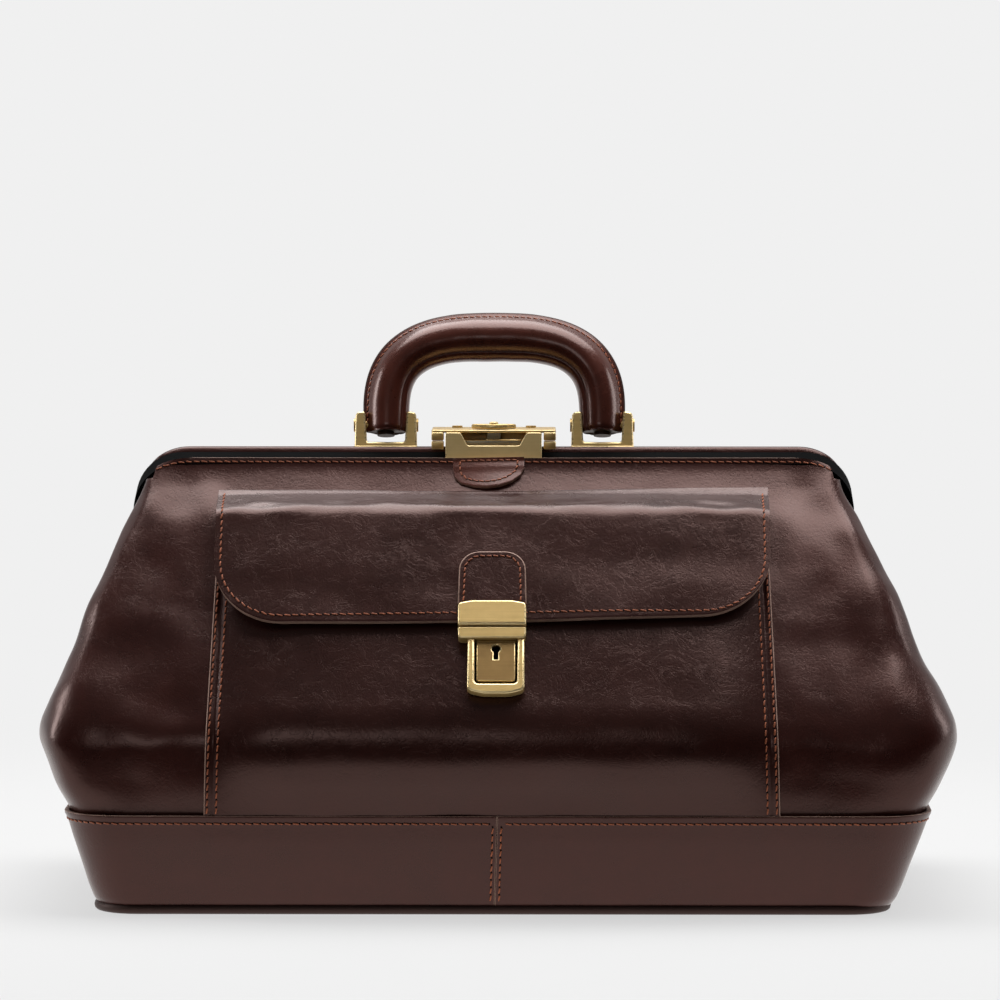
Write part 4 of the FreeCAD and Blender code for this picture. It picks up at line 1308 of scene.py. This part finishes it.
# The case under the cover plate takes the darker brass, which paints its shade.
lock_box = stamped(
    "top_lock_case",
    [rounded([(-22, 2.2), (22, 2.2), (22, 15.8, 1.5), (-22, 15.8, 1.5)])],
    case_low.z + 2.2, case_high.z, 0.5, Matrix(), brass_shaded, brass_rubbed_highlit,
)
dressed(lock_box, "brass", "lock_case")
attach(lock_box, "back_jaw")

bolt_low, bolt_high = (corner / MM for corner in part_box("lock_bolt"))
bolt = stamped(
    "top_lock_bolt", [rounded([(-13, -9.4, 0.8), (13, -9.4, 0.8), (13, -4.4, 0.8), (-13, -4.4, 0.8)])],
    bolt_low.z, 208.0, 0.6, Matrix(), steel, brass_flat,
)
neck = stamped(
    "bolt_neck", [rounded([(-3, -8.6, 0.4), (3, -8.6, 0.4), (3, -4.4, 0.4), (-3, -4.4, 0.4)])],
    207.5, bolt_high.z, 0.2, Matrix(), steel, brass_flat,
)
bolt = joined("top_lock_bolt", [bolt, neck])
dressed(bolt, "steel", "lock_bolt")
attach(bolt, "lock_slider")

thumb_low, thumb_high = (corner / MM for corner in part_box("lock_thumb"))
lens = []
for sign in (1, -1):
    turns = np.linspace(-1, 1, 14)[:-1]
    lens += [(sign * 10.2 * -t, -5.6 - sign * 3.6 * (1 - t * t)) for t in turns]
# The thumb piece's face takes the bright edge brass: a painted highlight on its top.
thumb = stamped("thumb_slide", [lens], thumb_low.z, thumb_low.z + 2.2, 0.55, Matrix(), brass_rubbed_highlit, brass_flat)
boss = stamped(
    "thumb_boss", [circle(0, -5.6, 2.0)],
    thumb_low.z + 1.6, thumb_high.z, 0.5, Matrix(), brass_flat, brass_rubbed_highlit,
)
thumb = joined("thumb_slide", [thumb, boss])
dressed(thumb, "brass", "lock_thumb")
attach(thumb, "lock_slider")
print("the top lock is in place")

# %% [markdown]
# ## Handle brackets
# Two brass forks are riveted through the leather into the back jaw. Each fork's ears taper towards a
# rounded top, and the handle turns on a pin between them.

# %% Brackets
def bracket(name, centre, node):
    base = -11.1
    fork = rounded([
        (-14.4, base, 0.3), (-14.0, 5.4, 2.2), (-9.6, 5.8, 1.2), (-8.8, base + 2.4, 1.2),
        (8.8, base + 2.4, 1.2), (9.6, 5.8, 1.2), (14.0, 5.4, 2.2), (14.4, base, 0.3),
    ], 6)
    place = GRIP @ Matrix.Translation((centre, 0, 0))
    ears = stamped(name, [fork], -4.6, 4.6, 0.9, standing(place), brass_flat, brass_rubbed_highlit)
    foot = stamped(
        name + "_foot", [rounded([(-15, -6.2, 1.5), (15, -6.2, 1.5), (15, 6.2, 1.5), (-15, 6.2, 1.5)])],
        base - 1.7, base + 0.2, 0.5, place, brass_flat, brass_rubbed_highlit,
    )
    fork_piece = joined(name, [ears, foot])
    dressed(fork_piece, "brass", node)
    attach(fork_piece, "back_jaw")
    return fork_piece


HANDLE_REACH = 50.0
bracket("fork_left", -HANDLE_REACH, "bracket_left")
bracket("fork_right", HANDLE_REACH, "bracket_right")
print("brackets stand at", HANDLE_REACH, "mm from the middle")

# %% [markdown]
# ## The handle
# The handle is a padded roll: leather drawn round a soft core and sewn along its outer side, where the two
# edges form a low ridge. The line of the roll is a flattened arch. Its section is a round with that ridge
# on the outside and a creased strip on the inside, and it is carried along the arch as a loft, tapering at
# its two cut ends. The inside is fuller in the middle of the arch, where the hand closes on it.

# %% Handle
ARCH_FLAT = 2.8
ARCH_BASE, ARCH_TOP = 4.0, 42.4
HANDLE_END = -3.4


def arch(count):
    """The handle's centre line in its own plane, from the left foot over the top to the right foot."""
    turns = np.linspace(math.pi, 0, 241)
    cosine, sine = np.cos(turns), np.sin(turns)
    x = HANDLE_REACH * np.sign(cosine) * np.abs(cosine) ** (2 / ARCH_FLAT)
    z = ARCH_BASE + (ARCH_TOP - ARCH_BASE) * np.abs(sine) ** (2 / ARCH_FLAT)
    line = np.column_stack([x, z])
    line = np.vstack([(-HANDLE_REACH, HANDLE_END), line, (HANDLE_REACH, HANDLE_END)])
    run = measured(line)
    spots = np.linspace(0, run[-1], count)
    return np.stack([np.interp(spots, run, line[:, k]) for k in (0, 1)], 1)


ROLL = [
    (10.8, 0.0), (10.8, 1.2), (8.9, 1.9), (7.7, 3.4), (6.0, 5.8), (3.6, 8.0), (0.6, 9.2), (-2.6, 9.2),
    (-5.2, 7.9), (-6.8, 6.2), (-7.2, 5.2), (-7.8, 5.5), (-9.3, 4.6), (-10.4, 2.6), (-10.7, 0.0),
]


def smooth_loop(points, rounds=2):
    """Cuts the corners of a closed outline, twice, so it turns softly."""
    line = np.array(points, float)
    for _ in range(rounds):
        following = np.roll(line, -1, 0)
        line = np.stack([0.75 * line + 0.25 * following, 0.25 * line + 0.75 * following], 1).reshape(-1, 2)
    return line


roll_section = smooth_loop(ROLL + [(out, -front) for out, front in ROLL[-2:0:-1]])
HANDLE_RINGS = 190
RIDGE_STITCH_OUT, RIDGE_STITCH_FRONT = 8.5, 2.35


def handle_frame():
    """Centre points and outward directions along the arch."""
    line = arch(HANDLE_RINGS)
    ahead = np.gradient(line, axis=0)
    ahead /= np.linalg.norm(ahead, axis=1, keepdims=True)
    outward = np.column_stack([-ahead[:, 1], ahead[:, 0]])
    return line, outward


handle_line, handle_out = handle_frame()


def handle_roll():
    points = []
    run = measured(handle_line)
    for index in range(HANDLE_RINGS):
        ends = min(run[index], run[-1] - run[index])
        taper = 0.86 + 0.14 * min(1, ends / 2.2) ** 0.5
        taper *= 1 - 0.05 * math.exp(-(ends / 9) ** 2)
        for out, front in roll_section:
            swell = 1 + 0.012 * noise.noise(Vector((handle_line[index][0] / 9, out / 6, front / 6)))
            fuller = 1 + 0.14 * hill(handle_line[index][0], 0, 34) * (out < 0)
            x, z = handle_line[index] + handle_out[index] * out * taper * swell * fuller
            points.append(GRIP @ Vector((x, -front * taper * swell, z)))
    around = len(roll_section)
    faces = grid_faces(HANDLE_RINGS, around, closed=True)
    faces += [tuple(range(around)), tuple(range((HANDLE_RINGS - 1) * around, HANDLE_RINGS * around))[::-1]]
    piece = add_mesh("handle_roll", points, faces, leather_grip, leather_dark)
    ridge = [int(abs(front) < 1.3 and out > 9) for out, front in roll_section]
    kinds = [ridge[k] for _ in range(HANDLE_RINGS - 1) for k in range(around)] + [1, 1]
    piece.data.polygons.foreach_set("material_index", kinds)
    return piece


handle = handle_roll()
dressed(handle, "leather", "handle_cover")
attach(handle, "handle")


def handle_stitch_line(front):
    points, outward = [], []
    for index in range(4, HANDLE_RINGS - 4):
        x, z = handle_line[index] + handle_out[index] * RIDGE_STITCH_OUT
        points.append(GRIP @ Vector((x, -front * RIDGE_STITCH_FRONT, z)))
        direction = Vector((handle_out[index][0] * 0.5, -front, handle_out[index][1] * 0.5))
        outward.append(GRIP.to_3x3() @ direction)
    return np.array(points), np.array(outward)


handle_stitches = stitches("stitches_handle", [handle_stitch_line(1), handle_stitch_line(-1)], pitch=2.9)
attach(handle_stitches, "handle")
print("the handle is", round(handle.dimensions.x / MM), "mm wide")

# %% [markdown]
# ## The tab below the hasp
# A small stitched tab covers the place where the hasp's rivets come through. It bends where the front jaw
# turns on the wall.

# %% Front tab
TAB_TOP, TOP_TAB_HALF, TAB_SHIFT = 200.4, 16.2, -2.2
TAB_OUTLINE = np.array([
    (-16.2, 6.0), (-15.4, 9.8), (-12.5, 12.8), (-7, 14.3), (-1, 14.7),
    (5, 14.0), (10.5, 12.0), (14.4, 9.0), (16.2, 5.5),
])


def top_tab_surface(x, along):
    """A point on the tab: across, and down from its top edge."""
    height = TAB_TOP - along * 0.86
    wall = body_at(min(height, 199))[0]
    top_lean = max(0.0, height - 196.5) * 0.25
    curl = 0.05 * along * math.sin(x / 9 + 0.6)
    return Vector((x + TAB_SHIFT, -wall - 1.9 - curl + top_lean, height + 0.02 * x))


def tab_bottom(x):
    return float(np.interp(x, TAB_OUTLINE[:, 0], TAB_OUTLINE[:, 1]))


def top_tab():
    even = np.linspace(-1, 1, 51)
    columns = TOP_TAB_HALF * (0.6 * np.sin(even * math.pi / 2) + 0.4 * even)
    rows = 18
    points = [top_tab_surface(x, tab_bottom(x) * row / (rows - 1)) for row in range(rows) for x in columns]
    faces = grid_faces(rows, len(columns), flip=True)
    piece = add_mesh("front_tab_leather", points, faces, leather_grip, leather_edge)
    thicken(piece, 1.7, rim=1, soften=0.45)
    dressed(piece, "leather", "front_tab")
    return piece


def bend_with_jaw(piece):
    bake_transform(piece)
    return piece


bend_with_jaw(top_tab())
tab_path = [(x, 1.6) for x in np.linspace(-13.2, 13.2, 12)]
tab_round = [(x * 0.81, 1.6 + (along - 1.6) * 0.8) for x, along in [(-16.2, 1.6), *TAB_OUTLINE, (16.2, 1.6)]]
tab_lines = []
for path in (tab_path, tab_round):
    line = np.array([top_tab_surface(x, along) for x, along in path])
    tab_lines.append((line, np.array([(0, -0.8, 0.6)] * len(line))))
bend_with_jaw(stitches("stitches_front_tab", tab_lines, pitch=2.7))
print("the front tab hangs over the wall's top edge")

# %% [markdown]
# ## Stage, light and camera
# The bag stands on a pale floor that fades into an even pale background. One large soft light hangs
# overhead and a little behind, so slopes that face up shine and upright leather stays dark, which is what
# makes glazed leather look deep. Two weak side lights draw bright lines along the edges, and a faint one in
# front lifts the brass. The camera sees an even floor. In reflections the floor is bright close to the bag
# and dark further in front, so the band shines while the lower walls stay deep brown.

# %% Floor and background
PALE = srgb(240, 240, 240)[0]


def floor_finish():
    finish = Finish("floor_paper")
    where = finish.node("TexCoord", out="Object")
    far = finish.node("VectorMath", {"operation": "LENGTH"}, out="Value", s0=where).step(0.3, 0.75)
    speck = finish.node("TexNoise", Vector=where, Scale=30.0)
    tone = 0.58 + speck * 0.01
    grey = finish.node("CombineColor", Red=tone, Green=tone, Blue=tone)
    paper = finish.node("BsdfDiffuse", Color=grey)
    glow = finish.node("Emission", Color=(PALE, PALE, PALE), Strength=1.0)
    seen_floor = finish.node("MixShader", s0=far * 0.3 + 0.7, s1=paper, s2=glow)
    parts = finish.node("SeparateXYZ", Vector=where)
    ahead = (Wire(finish, parts.socket.node.outputs["Y"]) * -1.0).step(0.17, 0.27)
    dark = finish.node("Emission", Color=(0.02, 0.018, 0.018), Strength=1.0)
    near = finish.node("Emission", Color=(1.0, 0.98, 0.96), Strength=1.1)
    bounced = finish.node("MixShader", s0=ahead, s1=near, s2=dark)
    seen = finish.node("LightPath", out="Is Camera Ray")
    mixed = finish.node("MixShader", s0=seen, s1=bounced, s2=seen_floor)
    output = finish.tree.nodes.new("ShaderNodeOutputMaterial")
    finish.tree.links.new(mixed.socket, output.inputs["Surface"])
    return finish.material


turns = np.linspace(0, 2 * math.pi, 96, endpoint=False)
floor_points = [(0, 0, -0.3)] + [(6000 * math.cos(t), 6000 * math.sin(t), -0.3) for t in turns]
floor_faces = [(0, 1 + k, 1 + (k + 1) % 96) for k in range(96)]
floor = add_mesh("floor", floor_points, floor_faces, floor_finish())
floor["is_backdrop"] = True

world = bpy.data.worlds.new("studio")
bpy.context.scene.world = world
world.use_nodes = True
studio = Finish.__new__(Finish)
studio.tree = world.node_tree
studio.tree.nodes.clear()
direction = studio.node("TexCoord", out="Generated")
parts = studio.node("SeparateXYZ", Vector=direction)
behind = Wire(studio, parts.socket.node.outputs["Y"]).step(-0.1, 0.9)
above = Wire(studio, parts.socket.node.outputs["Z"]).step(0.1, 1.0)
level = (0.02 + behind * 0.7 + above * 0.12).clamp()
grey = studio.node("CombineColor", Red=level, Green=level, Blue=level)
seen = studio.node("LightPath", out="Is Camera Ray")
light = studio.node("Background", Color=studio.mix(grey, (PALE, PALE, PALE), seen), Strength=1.0)
world_output = studio.tree.nodes.new("ShaderNodeOutputWorld")
studio.tree.links.new(light.socket, world_output.inputs["Surface"])


def soft_light(name, place, target, size, power):
    data = bpy.data.lights.new(name, "AREA")
    data.shape = "RECTANGLE"
    data.size, data.size_y = size
    data.energy = power
    lamp = bpy.data.objects.new(name, data)
    bpy.context.scene.collection.objects.link(lamp)
    lamp.location = place
    lamp.rotation_euler = (Vector(target) - Vector(place)).to_track_quat("-Z", "Y").to_euler()
    lamp.visible_camera = False
    return lamp


soft_light("overhead", (0.05, 0.235, 1.35), (0.03, 0.19, 0.1), (1.6, 1.1), 32)
soft_light("left_edge", (-1.5, 0.1, 0.6), (0, 0, 0.12), (0.35, 0.9), 9)
soft_light("right_edge", (1.5, 0.25, 0.6), (0, 0, 0.12), (0.35, 0.9), 5)
soft_light("front_fill", (-0.5, -2.5, 0.75), (0, 0, 0.1), (0.9, 0.6), 3.5)
bpy.context.scene.view_settings.view_transform = "Standard"
print("floor, background and four soft lights")

# %% Camera
camera = bpy.data.objects.new("camera", bpy.data.cameras.new("camera"))
bpy.context.scene.collection.objects.link(camera)
camera.location = (0.024, -2.45, 0.36)
camera.rotation_euler = (Vector((0.0028, 0, 0.1795)) - camera.location).to_track_quat("-Z", "Y").to_euler()
camera.data.sensor_width = 36
camera.data.lens = 192
camera.data.clip_end = 50
bpy.context.scene.camera = camera
print("the camera stands", round(-camera.location.y, 2), "m in front")

# %% Measure and finish
bpy.context.view_layer.update()
low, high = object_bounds()
print("the bag measures", [round(size / MM) for size in (high - low)], "mm")
